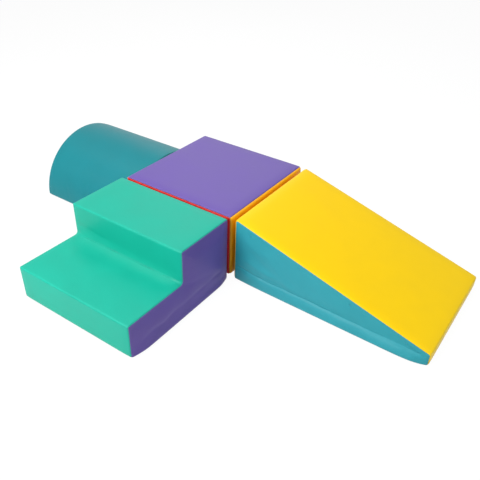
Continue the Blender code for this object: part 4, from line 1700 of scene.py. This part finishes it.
@dataclass(frozen=True)
class Studio:
    """The camera, the soft lights and the pale floor."""

    focal_pixels: float = 570.5
    frame_pixels: float = 480.0
    sensor: float = 36.0
    pitch: float = 34.42
    yaw: float = -33.766
    roll: float = 1.803
    place: tuple[float, float, float] = (1.47125, -1.97325, 1.59289)
    target: tuple[float, float, float] = (0.1, -0.1, 0.1)
    cool: tuple[float, float, float] = (0.77, 1.0, 1.07)

    def set_camera(self) -> None:
        """Stands the camera where the photograph was taken from."""
        data = bpy.data.cameras.new("camera")
        data.sensor_width = self.sensor
        data.lens = self.focal_pixels / self.frame_pixels * self.sensor
        camera = bpy.data.objects.new("camera", data)
        pitch, yaw, roll = (math.radians(value) for value in (self.pitch, self.yaw, self.roll))
        forward = Vector((math.sin(yaw) * math.cos(pitch), math.cos(yaw) * math.cos(pitch), -math.sin(pitch)))
        level = forward.cross(Vector((0, 0, 1))).normalized()
        above = level.cross(forward)
        right = level * math.cos(roll) + above * math.sin(roll)
        up = above * math.cos(roll) - level * math.sin(roll)
        turned = Matrix((right, up, -forward)).transposed().to_4x4()
        camera.matrix_world = Matrix.Translation(self.place) @ turned
        bpy.context.scene.collection.objects.link(camera)
        bpy.context.scene.camera = camera

    def set_lights(self) -> None:
        """Hangs the soft boxes: each one's name, place, size, power and tint."""
        white = (1.0, 1.0, 1.0)
        for name, place, size, power, tint in (
            ("overhead_soft_box", (-0.6, -0.8, 3.2), 3.4, 93.0, white),
            ("front_soft_box", (-0.45, -3.6, 2.0), 1.6, 105.0, white),
            ("front_left_strip_box", (-2.2, -2.6, 2.0), 1.3, 11.0, white),
            ("right_soft_box", (3.6, 0.6, 2.2), 2.4, 42.0, self.cool),
            ("back_soft_box", (-1.8, 3.0, 2.6), 2.4, 22.0, white),
        ):
            data = bpy.data.lights.new(name, "AREA")
            data.shape, data.size, data.energy, data.color = "SQUARE", size, power, tint
            lamp = bpy.data.objects.new(name, data)
            lamp.location = place
            lamp.rotation_mode = "QUATERNION"
            lamp.rotation_quaternion = (Vector(self.target) - Vector(place)).to_track_quat("-Z", "Y")
            bpy.context.scene.collection.objects.link(lamp)

    @staticmethod
    def show(tree: bpy.types.NodeTree, plain: Socket, shown: Socket, output: str) -> None:
        """Ends a node tree in one shader that lights the object and one that is seen.

        Args:
            tree: The node tree.
            plain: The shader that lights the object.
            shown: The one for camera rays, reflected rays and rays through glass.
            output: Blender's name for the kind of output node.
        """
        rays = add_node(tree, "ShaderNodeLightPath", {}).outputs
        seen = rays["Is Camera Ray"]
        for other in ("Is Glossy Ray", "Is Transmission Ray"):
            seen = add_node(tree, "ShaderNodeMath", {0: seen, 1: rays[other]}, operation="MAXIMUM").outputs[0]
        mixed = add_node(tree, "ShaderNodeMixShader", {0: seen, 1: plain, 2: shown}).outputs[0]
        add_node(tree, output, {"Surface": mixed})

    def set_room(self) -> None:
        """Sets the room's own dim light, which shows as white."""
        world = bpy.data.worlds.new("studio")
        bpy.context.scene.world = world
        world.use_nodes = True
        tree = world.node_tree
        tree.nodes.clear()
        dim, white = (
            add_node(tree, "ShaderNodeBackground", {"Color": (1, 1, 1, 1), "Strength": strength}).outputs[0]
            for strength in (0.12, 1.0)
        )
        self.show(tree, dim, white, "ShaderNodeOutputWorld")

    def set_floor(self) -> None:
        """Lays the white floor, which shows the object's soft shadow."""
        half, below = 20.0, -0.5 * MM
        corners = [[-half, -half, below], [half, -half, below], [half, half, below], [-half, half, below]]
        floor = make_mesh_object("studio_floor", np.array(corners), [(0, 1, 2, 3)])
        material = bpy.data.materials.new("white_floor_paper")
        material.use_nodes = True
        tree = material.node_tree
        tree.nodes.clear()
        paper = add_node(tree, "ShaderNodeBsdfDiffuse", {"Color": (0.75, 0.75, 0.75, 1)}).outputs[0]
        glow = add_node(tree, "ShaderNodeEmission", {"Color": (1, 1, 1, 1), "Strength": 1.06}).outputs[0]
        shown = add_node(tree, "ShaderNodeMixShader", {0: 0.9, 1: paper, 2: glow}).outputs[0]
        self.show(tree, paper, shown, "ShaderNodeOutputMaterial")
        floor.data.materials.append(material)

    def set_up(self) -> None:
        """Sets up the whole studio."""
        bpy.context.scene.view_settings.view_transform = "Standard"
        self.set_camera()
        self.set_lights()
        self.set_room()
        self.set_floor()


def main() -> None:
    """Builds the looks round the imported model."""
    logging.basicConfig(level=logging.INFO, format="%(message)s", stream=sys.stdout)
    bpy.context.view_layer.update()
    Studio().set_up()
    blocks: list[SewnBlock] = [Platform(), Stairs(), Ramp(), HalfRound()]
    for block in blocks:
        block.lay_out()
        block.foam_core()
        for sewn_on in block.sewn_on:
            sewn_on.build()
    panels = [panel for block in blocks for panel in block.panels]
    for panel in panels:
        panel.lay_out()
    Swelling().run(panels)
    for panel in panels:
        panel.dress()


if __name__ == "__main__":
    main()
